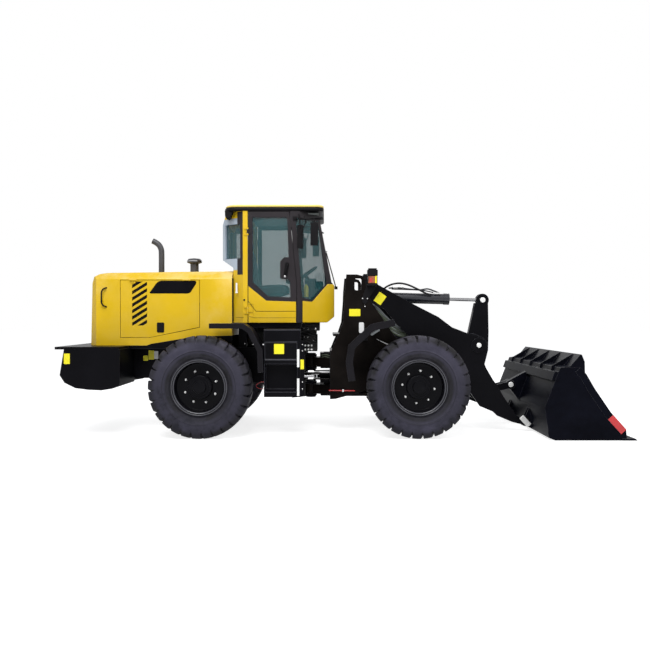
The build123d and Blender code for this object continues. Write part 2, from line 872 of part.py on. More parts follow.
# ---- Fenders: a bent sheet over each tyre, with a lip along its outer edge ----
front_fender_line = [(594, 1312), (346, 1260), (124, 1053), (99, 887), (130, 681)]
rear_fender_line = [(-1568, 1342), (-1170, 1342), (-1079, 1281), (-949, 1034), (-940, 774)]
front_fender_inner = 560.0
rear_fender_inner = 646.0
front_lip = 80.0
rear_lip = 60.0
with BuildPart() as front_fenders:
    for side in sides:
        side_plate(strip(front_fender_line, fender_skin), *pair(side, front_fender_inner, fender_half))
        side_plate(strip(front_fender_line, front_lip), *pair(side, fender_half - fender_skin, fender_half))
        block(230, 300, *pair(side, tower_outer_half, front_fender_inner + 5), 1130, 1160)
        block(230, 300, *pair(side, front_fender_inner - 5, front_fender_inner + 5), 1130, 1215)
save(front_fenders, "front_fenders")

with BuildPart() as rear_fenders:
    for side in sides:
        side_plate(strip(rear_fender_line, fender_skin), *pair(side, rear_fender_inner, fender_half))
        side_plate(strip(rear_fender_line, rear_lip), *pair(side, fender_half - fender_skin, fender_half))
        block(-1300, -1240, *pair(side, platform_half, rear_fender_inner + 14), 1300, 1334)
save(rear_fenders, "rear_fenders")

# ---- Headlamps: a bracket plate on each tower, its shelf and a lamp with a stepped cap ----
lamp_from = 500.0
lamp_to = 620.0
lamp_low_z = 1808.0
bracket_outline = [
    (290, lamp_low_z),
    (418, lamp_low_z),
    (418, lamp_low_z - 12),
    (318, 1650),
    (300, 1600),
    (272, 1570),
    (240, 1600),
    (234, 1650),
]
with BuildPart() as headlamps:
    for side in sides:
        side_plate(bracket_outline, *pair(side, tower_outer_half, tower_outer_half + 10))
        block(294, 418, *pair(side, tower_outer_half, lamp_to), lamp_low_z - 10, lamp_low_z)
        block(294, 418, *pair(side, lamp_from, lamp_to), lamp_low_z, lamp_low_z + 14)
        block(300, 412, *pair(side, lamp_from + 6, lamp_to - 6), lamp_low_z + 14, 1920)
        block(294, 418, *pair(side, lamp_from, lamp_to), 1920, 1990)
        block(306, 406, *pair(side, lamp_from + 12, lamp_to - 12), 1990, 2009)
save(headlamps, "headlamps")

# ---- Counterweight: a thick casting with its top plate, tow slot and lamp pockets ----
counterweight_side = [
    (-3249, counterweight_top_z),
    (-3300, 741),
    (-3243, 653),
    (-3118, 591),
    (-2967, 572),
    (-2816, 565),
    (-2691, 585),
    (counterweight_front_x, 614),
    (counterweight_front_x, counterweight_top_z),
]
tail_lamp_z = 905.0
tail_lamp_back = -3245.0
tail_lamp_face = -3290.0
deck_rear_x = -3355.0
deck_front_x = -2616.0
with BuildPart() as counterweight:
    side_plate(counterweight_side, -fender_half, fender_half)
    block(
        deck_rear_x,
        deck_front_x,
        -fender_half,
        fender_half,
        counterweight_top_z,
        counterweight_top_z + deck_plate,
    )
    block(-2903, -2590, -rail_outer - 3, rail_outer + 3, 500, counterweight_top_z, mode=Mode.SUBTRACT)
    block(-3400, -3170, -80, 80, 760, 900, mode=Mode.SUBTRACT)
    post((tow_pin_x, 0), tow_pin_radius + tow_pin_play, 600, 1080, mode=Mode.SUBTRACT)
    for side in sides:
        rod(
            (-3400, side * tail_lamp_y, tail_lamp_z),
            (tail_lamp_back, side * tail_lamp_y, tail_lamp_z),
            tail_lamp_radius + 2,
            mode=Mode.SUBTRACT,
        )
save(counterweight, "counterweight")

with BuildPart() as tail_lamps:
    for side in sides:
        rod(
            (tail_lamp_back, side * tail_lamp_y, tail_lamp_z),
            (tail_lamp_face, side * tail_lamp_y, tail_lamp_z),
            tail_lamp_radius,
        )
save(tail_lamps, "tail_lamps")

# ---- Engine hood: a hollow shell with bevelled shoulders and rear corners, a door in each side ----
hood_side = [
    (-3107, 1070),
    (-3080, 1830),
    (-3050, 1905),
    (-2990, 1945),
    (-2900, 1960),
    (hood_front_x, 1985),
    (hood_front_x, 1190),
    (-1798, 1180),
    (-2345, 1090),
    (-2400, 1070),
]
hood_section = [
    # Y, Z of the left half
    (hood_half, 800),
    (hood_half, 1880),
    (hood_half - 15, 1905),
    (hood_half - 105, 1975),
    (hood_half - 160, 1990),
]
hood_plan = [
    # X, Y of the left half
    (-3200, hood_half - 190),
    (-3107, hood_half - 90),
    (-3015, hood_half),
    (-1300, hood_half),
]
hood_door_outline = [
    (-2717, 1170),
    (-2361, 1170),
    (-1990, 1245),
    (-1756, 1295),
    (-1756, 1865),
    (-2717, 1865),
]
hood_centre = (-2240, 1520)
hood_wide = hood_half + 40
grille_half = 400.0
grille_low_z = 1200.0
grille_high_z = 1750.0
engine_room_low_z = 900.0


def hood_form(inward):
    # The hood's outer form, with all its faces but the open bottom moved inward by an amount.
    outline = grown(hood_side, hood_centre, -inward)
    if inward > 0:
        outline = [(outline[0][0], engine_room_low_z)] + outline[1:6] + [(outline[5][0], engine_room_low_z)]
    section = [(y - inward, z - inward) for y, z in hood_section]
    plan = [(x + inward if x < hood_centre[0] else x, y - inward) for x, y in hood_plan]
    whole_section = section + [(-y, z) for y, z in reversed(section)]
    whole_plan = plan + [(x, -y) for x, y in reversed(plan)]
    with BuildPart() as form:
        side_plate(outline, -hood_wide, hood_wide)
        cross_plate(whole_section, hood_plan[0][0], hood_plan[-1][0], mode=Mode.INTERSECT)
        flat_plate(whole_plan, hood_section[0][1], hood_section[-1][1] + 100, mode=Mode.INTERSECT)
    return form.part


with BuildPart() as engine_hood:
    add(hood_form(0))
    add(hood_form(hood_skin), mode=Mode.SUBTRACT)
    side_plate(grown(hood_door_outline, hood_centre, joint_gap), -hood_wide, hood_wide, mode=Mode.SUBTRACT)
    block(-3200, -3040, -grille_half, grille_half, grille_low_z, grille_high_z, mode=Mode.SUBTRACT)
    post((exhaust_x, 0), exhaust_radius, 1900, 2050, mode=Mode.SUBTRACT)
    post((precleaner_x, 0), precleaner_stem, 1900, 2050, mode=Mode.SUBTRACT)
    for side in sides:
        hinge_line = (side * hood_hinge_y, hood_hinge_z)
        for hinge_x in hood_hinge_xs:
            for direction in (-1, 1):
                ear_from, ear_to = between(hinge_x, direction, 27, 45)
                rod((ear_from, *hinge_line), (ear_to, *hinge_line), 12)
                ear_y = pair(side, hood_half - 4, hood_hinge_y)
                block(ear_from, ear_to, *ear_y, hood_hinge_z + 6, hood_hinge_z + 12)
            rod((hinge_x - 40, *hinge_line), (hinge_x + 40, *hinge_line), 6)
save(engine_hood, "engine_hood")

louvre_count = 8
louvre_rear_x = -2578.0
louvre_front_x = -2394.0
louvre_low_z = 1313.0
louvre_high_z = 1851.0
louvre_pitch = 77.0
louvre_first_z = 1228.5
louvre_rise = 115.0
louvre_height = 43.0
with BuildPart() as louvres:
    for index in range(louvre_count):
        slot_z = louvre_first_z + index * louvre_pitch
        side_plate(
            [
                (louvre_rear_x, slot_z),
                (louvre_front_x, slot_z + louvre_rise),
                (louvre_front_x, slot_z + louvre_rise + louvre_height),
                (louvre_rear_x, slot_z + louvre_height),
            ],
            -hood_wide,
            hood_wide,
        )
    block(
        louvre_rear_x,
        louvre_front_x,
        -hood_wide,
        hood_wide,
        louvre_low_z,
        louvre_high_z,
        mode=Mode.INTERSECT,
    )

for name, side in (("right", -1), ("left", 1)):
    hinge_line = (side * hood_hinge_y, hood_hinge_z)
    with BuildPart() as hood_door:
        side_plate(hood_door_outline, *pair(side, hood_half - hood_skin, hood_half))
        add(louvres.part, mode=Mode.SUBTRACT)
        for hinge_x in hood_hinge_xs:
            leaf_y = pair(side, hood_half - 4, hood_half + 8)
            block(hinge_x - 25, hinge_x + 25, *leaf_y, hood_hinge_z - 40, hood_hinge_z)
            rod((hinge_x - 25, *hinge_line), (hinge_x + 25, *hinge_line), 12)
            rod((hinge_x - 26, *hinge_line), (hinge_x + 26, *hinge_line), 6 + hinge_play, mode=Mode.SUBTRACT)
    save(hood_door, f"hood_door_{name}")

slat_count = 12
slat_pitch = 43.0
slat_opening = 22.0
with BuildPart() as rear_grille:
    block(-3096, -3076, -grille_half, grille_half, grille_low_z, grille_high_z)
    for index in range(slat_count):
        slat_z = grille_low_z + 35 + index * slat_pitch
        slat_half = grille_half - 30
        block(-3110, -3060, -slat_half, slat_half, slat_z, slat_z + slat_opening, mode=Mode.SUBTRACT)
save(rear_grille, "rear_grille")

# ---- Engine, radiator, transmission and drive shaft ----
with BuildPart() as engine_block:
    block(-2450, -1550, -260, 260, 980, 1600)
    block(-2300, -1930, -200, 200, 760, 980)
    for side in sides:
        for mount_x in (-2300, -1700):
            block(mount_x - 50, mount_x + 50, *pair(side, 250, rail_inner), 960, 1040)
save(engine_block, "engine_block")

with BuildPart() as radiator:
    block(-3000, -2860, -420, 420, counterweight_top_z + deck_plate, 1800)
save(radiator, "radiator")

with BuildPart() as transmission:
    block(-1250, -760, -205, 205, 560, 1000)
    rod((rear_axle_x + flange_reach, 0, axle_z), (-1250, 0, axle_z), 60)
    rod((-760, 0, shaft_z), (-480, 0, shaft_z), 42)
    rod((-480, 0, shaft_z), (-400, 0, shaft_z), 30)
    for side in sides:
        block(-1200, -1100, *pair(side, 200, rail_inner), 900, 1000)
save(transmission, "transmission")

with BuildPart() as front_driveshaft:
    rod((-335, 0, shaft_z), (front_axle_x - 370, 0, axle_z + 3), 38)
    rod((front_axle_x - 380, 0, axle_z), (front_axle_x - flange_reach, 0, axle_z), 60)
save(front_driveshaft, "front_driveshaft")

# ---- Exhaust stack with its bent tip, and the air pre-cleaner ----
exhaust_low_z = 1900.0
exhaust_bend = Vector(exhaust_x, 0, 2345)
exhaust_tip = Vector(exhaust_x - 120, 0, 2420)
exhaust_aim = (exhaust_tip - exhaust_bend).normalized()
with BuildPart() as exhaust_pipe:
    with BuildLine() as exhaust_line:
        FilletPolyline((exhaust_x, 0, exhaust_low_z), exhaust_bend, exhaust_tip, radius=60)
    with BuildSketch(Plane.XY.offset(exhaust_low_z)) as exhaust_disc:
        with Locations((exhaust_x, 0)):
            Circle(exhaust_radius)
    sweep(exhaust_disc.sketch, path=exhaust_line.line)
    mouth_radius = exhaust_radius - exhaust_wall
    rod(exhaust_tip - exhaust_aim * 70, exhaust_tip + exhaust_aim * 10, mouth_radius, mode=Mode.SUBTRACT)
save(exhaust_pipe, "exhaust_pipe")

with BuildPart() as air_precleaner:
    with BuildSketch(Plane.XZ) as precleaner_section:
        with BuildLine():
            Polyline(
                (0, 1950),
                (precleaner_stem, 1950),
                (precleaner_stem, 2108),
                (95, 2122),
                (95, 2150),
                (76, 2172),
                (0, 2182),
                close=True,
            )
        make_face()
    head = revolve(precleaner_section.sketch, axis=Axis.Z, mode=Mode.PRIVATE)
    add(head.moved(Location((precleaner_x, 0, 0))))
save(air_precleaner, "air_precleaner")

# ---- Step boxes: fuel on the right, hydraulic oil on the left ----
step_section = [
    # Y, Z of the left box, from its foot: lower tread, toe recess, lip, middle panel, top band
    (step_inner_half, step_low_z),
    (step_outer_half, step_low_z),
    (step_outer_half, 540),
    (step_outer_half - 140, 560),
    (step_outer_half - 150, 850),
    (step_outer_half, 867),
    (step_outer_half, 914),
    (step_outer_half - 8, 922),
    (step_outer_half - 8, 1116),
    (step_outer_half, 1124),
    (step_outer_half, step_top_z - 12),
    (step_outer_half - 12, step_top_z),
    (step_inner_half, step_top_z),
]
step_end_section = [step_section[0], step_section[1]] + step_section[-3:]
step_post = 40.0
for name, side in (("fuel_tank", -1), ("hydraulic_tank", 1)):
    with BuildPart() as tank:
        cross_plate([(side * y, z) for y, z in step_section], step_rear_x, step_front_x - step_post)
        cross_plate([(side * y, z) for y, z in step_end_section], step_front_x - step_post, step_front_x)
        cross_plate([(side * y, z) for y, z in step_end_section], step_rear_x, step_rear_x + 12)
        for z_from, z_to in ((800, 900), (950, 1030)):
            block(-860, -760, *pair(side, rail_outer, step_inner_half), z_from, z_to)
    save(tank, name)

# ---- Cab: one hollow form, parted into back, black frame and nose where its panels meet ----
cab_plan = [
    # X, Y of the left half, from the nose
    (-103, 300),
    (-530, cab_half),
    (-1214, cab_half),
    (-1490, 400),
]
cab_side = [
    (-195, cab_floor_z),
    (-105, 1421),
    (-105, 1815),
    (-139, 1850),
    (-303, roof_z),
    (-1440, roof_z),
    (-1490, roof_z - 140),
    (-1490, 2120),
    (-1345, 2020),
    (-1345, cab_floor_z),
]
cab_middle = (-800, 2000)
cab_post_x = -1158.0
cab_wide = cab_half + 60
behind_post = (-1600, cab_post_x, -cab_wide, cab_wide, cab_floor_z - 100, roof_z + 100)
nose_outline = [(-495, 1300), (-495, 1616), (-380, 1606), (-189, 1832), (-60, 1832), (-60, 1300)]
door_outline = [
    (-1152, cab_floor_z),
    (-567, cab_floor_z),
    (-567, 1820),
    (-654, roof_z - 10),
    (-1152, roof_z - 10),
]
door_window = [
    (-1097, 1840),
    (-905, 1665),
    (-640, 1655),
    (-648, 1862),
    (-764, 1885),
    (-764, 2090),
    (-715, 2139),
    (-662, 2139),
    (-678, roof_z - 80),
    (-1097, roof_z - 80),
]
door_panel = [(-1148, cab_floor_z), (-573, cab_floor_z), (-573, 1602), (-931, 1614), (-1148, 1790)]
door_centre = (-860, 2000)
side_window = [(-497, 1655), (-383, 1625), (-205, 1835), (-310, window_top_z), (-575, window_top_z)]
rear_window_z = 2130.0


def cab_form(inward):
    # The cab's outer form, with all its faces moved inward by an amount.
    plan = [(x - inward if x > cab_middle[0] else x + inward, y - inward) for x, y in cab_plan]
    whole_plan = plan + [(x, -y) for x, y in reversed(plan)]
    with BuildPart() as form:
        side_plate(grown(cab_side, cab_middle, -inward), -cab_wide, cab_wide)
        flat_plate(whole_plan, cab_floor_z - 100, roof_z + 100, mode=Mode.INTERSECT)
    return form.part


rear_window_height = window_top_z - 50 - rear_window_z
rear_window_middle_z = rear_window_z + rear_window_height / 2
with BuildPart() as window_cuts:
    for side in sides:
        side_plate(side_window, *pair(side, 330, cab_wide))
        rear_corner = Plane(
            origin=(-1352, side * 520, rear_window_middle_z),
            x_dir=(0.755, side * 0.656, 0),
            z_dir=(-0.656, side * 0.755, 0),
        )
        with BuildSketch(rear_corner) as rear_corner_window:
            Rectangle(270, rear_window_height)
        extrude(rear_corner_window.sketch, amount=70, both=True)
    cross_plate([(-290, 1890), (-410, window_top_z), (410, window_top_z), (290, 1890)], -700, 0)
    block(-1600, -1400, -330, 330, rear_window_z + 20, window_top_z - 50)

with BuildPart() as cab_shell:
    add(cab_form(0))
    add(cab_form(cab_skin), mode=Mode.SUBTRACT)
    add(window_cuts.part, mode=Mode.SUBTRACT)
    for side in sides:
        door_y = pair(side, cab_half - 80, cab_wide)
        side_plate(grown(door_outline, door_centre, joint_gap), *door_y, mode=Mode.SUBTRACT)

with BuildPart() as cab_body:
    add(cab_shell.part)
    block(*behind_post, mode=Mode.INTERSECT)
    for side in sides:
        hinge_place = (door_hinge_x, side * door_hinge_y)
        for hinge_z in door_hinge_zs:
            for direction in (-1, 1):
                ear_from, ear_to = between(hinge_z, direction, 27, 47)
                post(hinge_place, 11, ear_from, ear_to)
                block(-1205, door_hinge_x, *pair(side, cab_half - 4, cab_half + 8), ear_from, ear_to)
            post(hinge_place, 6, hinge_z - 40, hinge_z + 40)
save(cab_body, "cab_body")

with BuildPart() as cab_nose:
    add(cab_shell.part)
    side_plate(nose_outline, -cab_wide, cab_wide, mode=Mode.INTERSECT)
save(cab_nose, "cab_nose")

with BuildPart() as cab_frame:
    add(cab_shell.part)
    block(*behind_post, mode=Mode.SUBTRACT)
    side_plate(nose_outline, -cab_wide, cab_wide, mode=Mode.SUBTRACT)
save(cab_frame, "cab_frame")

with BuildPart() as cab_glass:
    add(cab_form(cab_glass_depth))
    add(cab_form(cab_glass_depth + cab_glass_thickness), mode=Mode.SUBTRACT)
    add(window_cuts.part, mode=Mode.INTERSECT)
save(cab_glass, "cab_glass")

door_glass_near = cab_half - door_plate + 13
for name, side in (("right", -1), ("left", 1)):
    hinge_place = (door_hinge_x, side * door_hinge_y)
    leaf_y = pair(side, cab_half - 4, cab_half + 8)
    with BuildPart() as cab_door:
        side_plate(door_outline, *pair(side, cab_half - door_plate, cab_half))
        side_plate(door_window, -cab_wide, cab_wide, mode=Mode.SUBTRACT)
        for hinge_z in door_hinge_zs:
            block(door_hinge_x, -1095, *leaf_y, hinge_z - 25, hinge_z + 25)
            post(hinge_place, 11, hinge_z - 25, hinge_z + 25)
            post(hinge_place, 6 + hinge_play, hinge_z - 26, hinge_z + 26, mode=Mode.SUBTRACT)
    save(cab_door, f"cab_door_{name}")
    with BuildPart() as door_skin_piece:
        side_plate(door_panel, *pair(side, cab_half, cab_half + door_skin))
        block(-1160, -1087, *pair(side, cab_half - 4, cab_half + 20), 1430, 1570, mode=Mode.SUBTRACT)
    save(door_skin_piece, f"door_skin_{name}")
    with BuildPart() as door_glass:
        side_plate(door_window, *pair(side, door_glass_near, door_glass_near + cab_glass_thickness))
    save(door_glass, f"door_glass_{name}")

trim_z = roof_z + roof_trim_height
roof_top_z = roof_z + roof_height
with BuildPart() as roof_trim:
    side_plate([(-1500, roof_z), (-1500, trim_z), (-235, trim_z), (-235, roof_z)], -roof_half, roof_half)
    for side in sides:
        block(-1430, -1395, *pair(side, 500, cab_half), roof_z - 50, roof_z)
save(roof_trim, "roof_trim")

with BuildPart() as cab_roof:
    cap_side = [(-1490, trim_z), (-1405, roof_top_z), (-300, roof_top_z), (-245, trim_z)]
    side_plate(cap_side, -roof_half, roof_half)
    cap_section = [
        (-roof_half + 8, trim_z),
        (-roof_half + 60, roof_top_z),
        (roof_half - 60, roof_top_z),
        (roof_half - 8, trim_z),
    ]
    cross_plate(cap_section, -1500, -235, mode=Mode.INTERSECT)
save(cab_roof, "cab_roof")

with BuildPart() as cab_platform:
    block(-1330, step_front_x, -platform_half, platform_half, platform_low_z, cab_floor_z)
    for side in sides:
        for post_x in (-1250, -620):
            block(post_x - 50, post_x + 50, *pair(side, 280, rail_outer), 1040, platform_low_z)
save(cab_platform, "cab_platform")

# ---- Inside the cab: seat, console and steering wheel ----
cab_deck_z = cab_floor_z + cab_skin
pedestal_side = [
    (-1150, cab_deck_z),
    (-900, cab_deck_z),
    (-900, 1560),
    (-860, 1620),
    (-1180, 1620),
    (-1150, 1560),
]
cushion_side = [(-1180, 1620), (-730, 1620), (-700, 1660), (-720, 1740), (-1060, 1720), (-1180, 1740)]
back_side = [(-1180, 1740), (-1060, 1720), (-1080, 1900), (-1130, 2280), (-1215, 2300), (-1240, 2240)]
with BuildPart() as seat:
    side_plate(pedestal_side, -200, 200)
    side_plate(cushion_side, -240, 240)
    side_plate(back_side, -230, 230)
save(seat, "seat")

wheel_centre = (-480, 0, 1960)
wheel_ring = 178.0
wheel_grip = 13.0
steering_plane = Plane(origin=wheel_centre, x_dir=(0, 1, 0), z_dir=(-130, 0, 180))
console_side = [(-400, cab_deck_z), (-260, cab_deck_z), (-260, 1780), (-350, 1850), (-430, 1780)]
with BuildPart() as dash_console:
    side_plate(console_side, -150, 150)
    rod((-350, 0, 1780), wheel_centre, 22)
    with Locations(steering_plane):
        Torus(wheel_ring, wheel_grip)
    with BuildSketch(steering_plane) as spokes:
        Circle(40)
        Rectangle(2 * wheel_ring, 26)
        with Locations((0, -wheel_ring / 2)):
            Rectangle(26, wheel_ring)
    extrude(spokes.sketch, amount=9, both=True)
save(dash_console, "dash_console")

# ---- Mirrors on bars at the cab's top corners ----
mirror_bar_z = roof_z - 95
mirror_top_z = mirror_bar_z - 60
mirror_low_z = mirror_top_z - 275
with BuildPart() as mirrors:
    for side in sides:
        block(-610, -560, *pair(side, cab_half, cab_half + 10), mirror_bar_z - 25, mirror_bar_z + 25)
        rod((-590, side * 649, mirror_bar_z), (-250, side * 735, mirror_bar_z), 9)
        rod((-350, side * 712, mirror_bar_z), (-350, side * 735, mirror_bar_z - 105), 8)
        block(-395, -305, *pair(side, 725, 765), mirror_low_z, mirror_top_z)
save(mirrors, "mirrors")
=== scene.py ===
import json
from math import cos, pi, radians, sin
import bmesh
import bpy
import numpy as np
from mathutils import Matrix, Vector


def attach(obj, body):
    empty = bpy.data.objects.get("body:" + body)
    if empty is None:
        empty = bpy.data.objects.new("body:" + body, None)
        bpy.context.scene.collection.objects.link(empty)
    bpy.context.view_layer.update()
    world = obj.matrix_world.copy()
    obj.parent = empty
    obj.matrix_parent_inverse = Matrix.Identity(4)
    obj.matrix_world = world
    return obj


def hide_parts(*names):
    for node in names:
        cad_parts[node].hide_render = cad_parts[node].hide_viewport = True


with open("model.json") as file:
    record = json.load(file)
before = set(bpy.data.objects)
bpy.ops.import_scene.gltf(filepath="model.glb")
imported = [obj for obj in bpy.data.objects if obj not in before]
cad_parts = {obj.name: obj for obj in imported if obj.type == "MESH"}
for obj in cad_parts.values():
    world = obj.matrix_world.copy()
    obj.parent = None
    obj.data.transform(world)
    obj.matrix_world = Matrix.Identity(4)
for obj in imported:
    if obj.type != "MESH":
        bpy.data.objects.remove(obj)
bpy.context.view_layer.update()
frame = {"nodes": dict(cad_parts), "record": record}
nodes = frame["nodes"]
bodyOf = {node: body for body, members in frame["record"]["behaviour"]["bodies"].items() for node in members}
mm = 0.001  # shapes below are worked out in millimetres
sides = (("right", -1), ("left", 1))
outward, upward = (0, -1, 0), (0, 0, 1)  # outward is away from the machine on its right side
print("frame loaded:", len(nodes), "nodes")

studio = {
    "cameraPlace": (-0.222, -9.155, 1.405),
    "cameraPitch": -0.57,
    "lens": 38.99,
    "sensor": 36.0,
    "viewEnd": 500,
    "floorColour": (0.80, 0.80, 0.80, 1),
    "floorShade": (0.55, 0.55, 0.55, 1),
    "floorGlow": 0.80,
    "floorHalf": 60.0,
    "worldLevel": 0.40,
    "worldColour": (0.93, 0.96, 1.0, 1),
    "white": (1, 1, 1, 1),
    "lamps": [
        # place, aimed at, size, power
        ((-2.0, -6.0, 8.5), (0, 0, 0.9), 6.0, 800),
        ((6.0, -4.5, 6.0), (0.8, 0, 0.8), 4.5, 220),
        ((0.0, 8.5, 6.5), (0, 0, 1.0), 7.0, 280),
    ],
}


def addNode(tree, kind, inputs=None, **settings):
    # A shader node with its settings, whose inputs take a number, a colour or another node's output.
    made = tree.nodes.new("ShaderNode" + kind)
    for name, value in settings.items():
        setattr(made, name, value)
    for socket, value in (inputs or {}).items():
        if isinstance(value, bpy.types.NodeSocket):
            tree.links.new(value, made.inputs[socket])
        else:
            made.inputs[socket].default_value = value
    return made


def addObject(name, data):
    # An object in the scene that holds the given mesh, camera or lamp.
    added = bpy.data.objects.new(name, data)
    bpy.context.scene.collection.objects.link(added)
    return added


def seenPlainly(tree):
    # The largest of Light Path's camera, glossy and transmission rays: 1 where the backdrop itself is seen.
    rays = addNode(tree, "LightPath").outputs
    largest = rays["Is Camera Ray"]
    for ray in ("Is Glossy Ray", "Is Transmission Ray"):
        largest = addNode(tree, "Math", {0: largest, 1: rays[ray]}, operation="MAXIMUM").outputs[0]
    return largest


def buildWorld(values):
    # An even pale sky for the light, and pure white where the background itself is seen.
    world = bpy.data.worlds.new("sky")
    world.use_nodes = True
    bpy.context.scene.world = world
    tree = world.node_tree
    tree.nodes.clear()
    lightSky = addNode(tree, "Background", {"Strength": values["worldLevel"], "Color": values["worldColour"]})
    whiteSky = addNode(tree, "Background", {"Color": values["white"]})
    mix = addNode(tree, "MixShader", {0: seenPlainly(tree), 1: lightSky.outputs[0], 2: whiteSky.outputs[0]})
    addNode(tree, "OutputWorld", {"Surface": mix.outputs[0]})


def buildFloor(values):
    # A wide sheet. Where it is seen, a glow brings its lit part up to white, and its shaded part keeps the
    # shadow.
    half = values["floorHalf"]
    mesh = bpy.data.meshes.new("floor")
    corners = [(-half, -half, 0), (half, -half, 0), (half, half, 0), (-half, half, 0)]
    mesh.from_pydata(corners, [], [(0, 1, 2, 3)])
    floor = addObject("floor", mesh)
    material = bpy.data.materials.new("floor")
    material.use_nodes = True
    tree = material.node_tree
    tree.nodes.clear()
    plain = addNode(tree, "BsdfDiffuse", {"Color": values["floorColour"]})
    shaded = addNode(tree, "BsdfDiffuse", {"Color": values["floorShade"]})
    glow = addNode(tree, "Emission", {"Strength": values["floorGlow"]})
    lit = addNode(tree, "AddShader", {0: shaded.outputs[0], 1: glow.outputs[0]})
    mix = addNode(tree, "MixShader", {0: seenPlainly(tree), 1: plain.outputs[0], 2: lit.outputs[0]})
    addNode(tree, "OutputMaterial", {"Surface": mix.outputs[0]})
    mesh.materials.append(material)


def buildStudio(values):
    # The camera at the machine's right side, the white surroundings and three soft lamps.
    scene = bpy.context.scene
    scene.view_settings.view_transform = "Standard"
    cameraData = bpy.data.cameras.new("camera")
    cameraData.lens = values["lens"]
    cameraData.sensor_width = values["sensor"]
    cameraData.clip_end = values["viewEnd"]
    camera = addObject("camera", cameraData)
    camera.location = values["cameraPlace"]
    camera.rotation_euler = (radians(90 + values["cameraPitch"]), 0, 0)
    scene.camera = camera
    buildWorld(values)
    buildFloor(values)
    for index, (spot, aim, size, power) in enumerate(values["lamps"]):
        lampData = bpy.data.lights.new(f"lamp{index}", "AREA")
        lampData.energy = power
        lampData.size = size
        lamp = addObject(f"lamp{index}", lampData)
        lamp.location = spot
        lamp.rotation_euler = (Vector(aim) - Vector(spot)).to_track_quat("-Z", "Y").to_euler()


buildStudio(studio)
print("studio ready")

# what a finish has where its own line says nothing else
plainFinish = {
    "spread": 0.2, "broadScale": 2.2, "shadeEnds": (0.34, 0.68), "roughSpread": 0.07, "zoneColour": None,
    # the tint on faces that look up is real dust, and in some finishes a painted highlight and painted sky
    # reflection; the colour below a height is painted shade
    "dust": 0.0, "dustColour": (0.16, 0.14, 0.115), "dustScale": 9.0, "dustEnds": (0.42, 0.66),
    "dustBase": 0.25, "dustNoise": (8.0, 0.65), "dirt": 0.0, "dirtColour": (0.10, 0.085, 0.06),
    "dirtScale": 5.0, "dirtEnds": (0.36, 0.62), "dirtTop": 0.9, "dirtFoot": 0.1, "dirtNoise": (8.0, 0.7),
    "bump": 0.02, "bumpDistance": 0.002, "fineScale": 60.0, "fineDetail": 4.0, "leastRoughness": 0.02,
    "metallic": 0.0, "specular": 0.5, "coat": 0.0, "coatRoughness": 0.08, "alpha": 1.0,
}
facesUp = (-0.1, 1.0)  # upward share of a normal from which dust and painted sheen start to lie, and where they are thickest


def opaque(colour):
    # A colour with full alpha.
    return tuple(colour) + (1,)


def noiseOf(tree, scale, detail=5.0, roughness=0.5):
    # A noise texture on Object coordinates; gives its factor.
    spot = addNode(tree, "TexCoord").outputs["Object"]
    return addNode(tree, "TexNoise", {"Scale": scale, "Detail": detail, "Roughness": roughness,
                                      "Vector": spot}).outputs["Fac"]


def rangeOf(tree, value, fromLow, fromHigh, toLow=0.0, toHigh=1.0):
    # The value moved from one range to another, clamped.
    made = addNode(tree, "MapRange", {"Value": value, "From Min": fromLow, "From Max": fromHigh,
                                      "To Min": toLow, "To Max": toHigh})
    return made.outputs["Result"]


def productOf(tree, first, second):
    # Two values multiplied; the second may be a number.
    return addNode(tree, "Math", {0: first, 1: second}, operation="MULTIPLY").outputs[0]


def blendOf(tree, share, first, colour):
    # One colour mixed with a plain one by a share from 0 to 1.
    return addNode(tree, "Mix", {"B": opaque(colour), "Factor": share, "A": first},
                   data_type="RGBA").outputs["Result"]


def upOf(tree, kind, output):
    # The vertical part of a vector that a node gives.
    vector = addNode(tree, kind).outputs[output]
    return addNode(tree, "SeparateXYZ", {0: vector}).outputs["Z"]


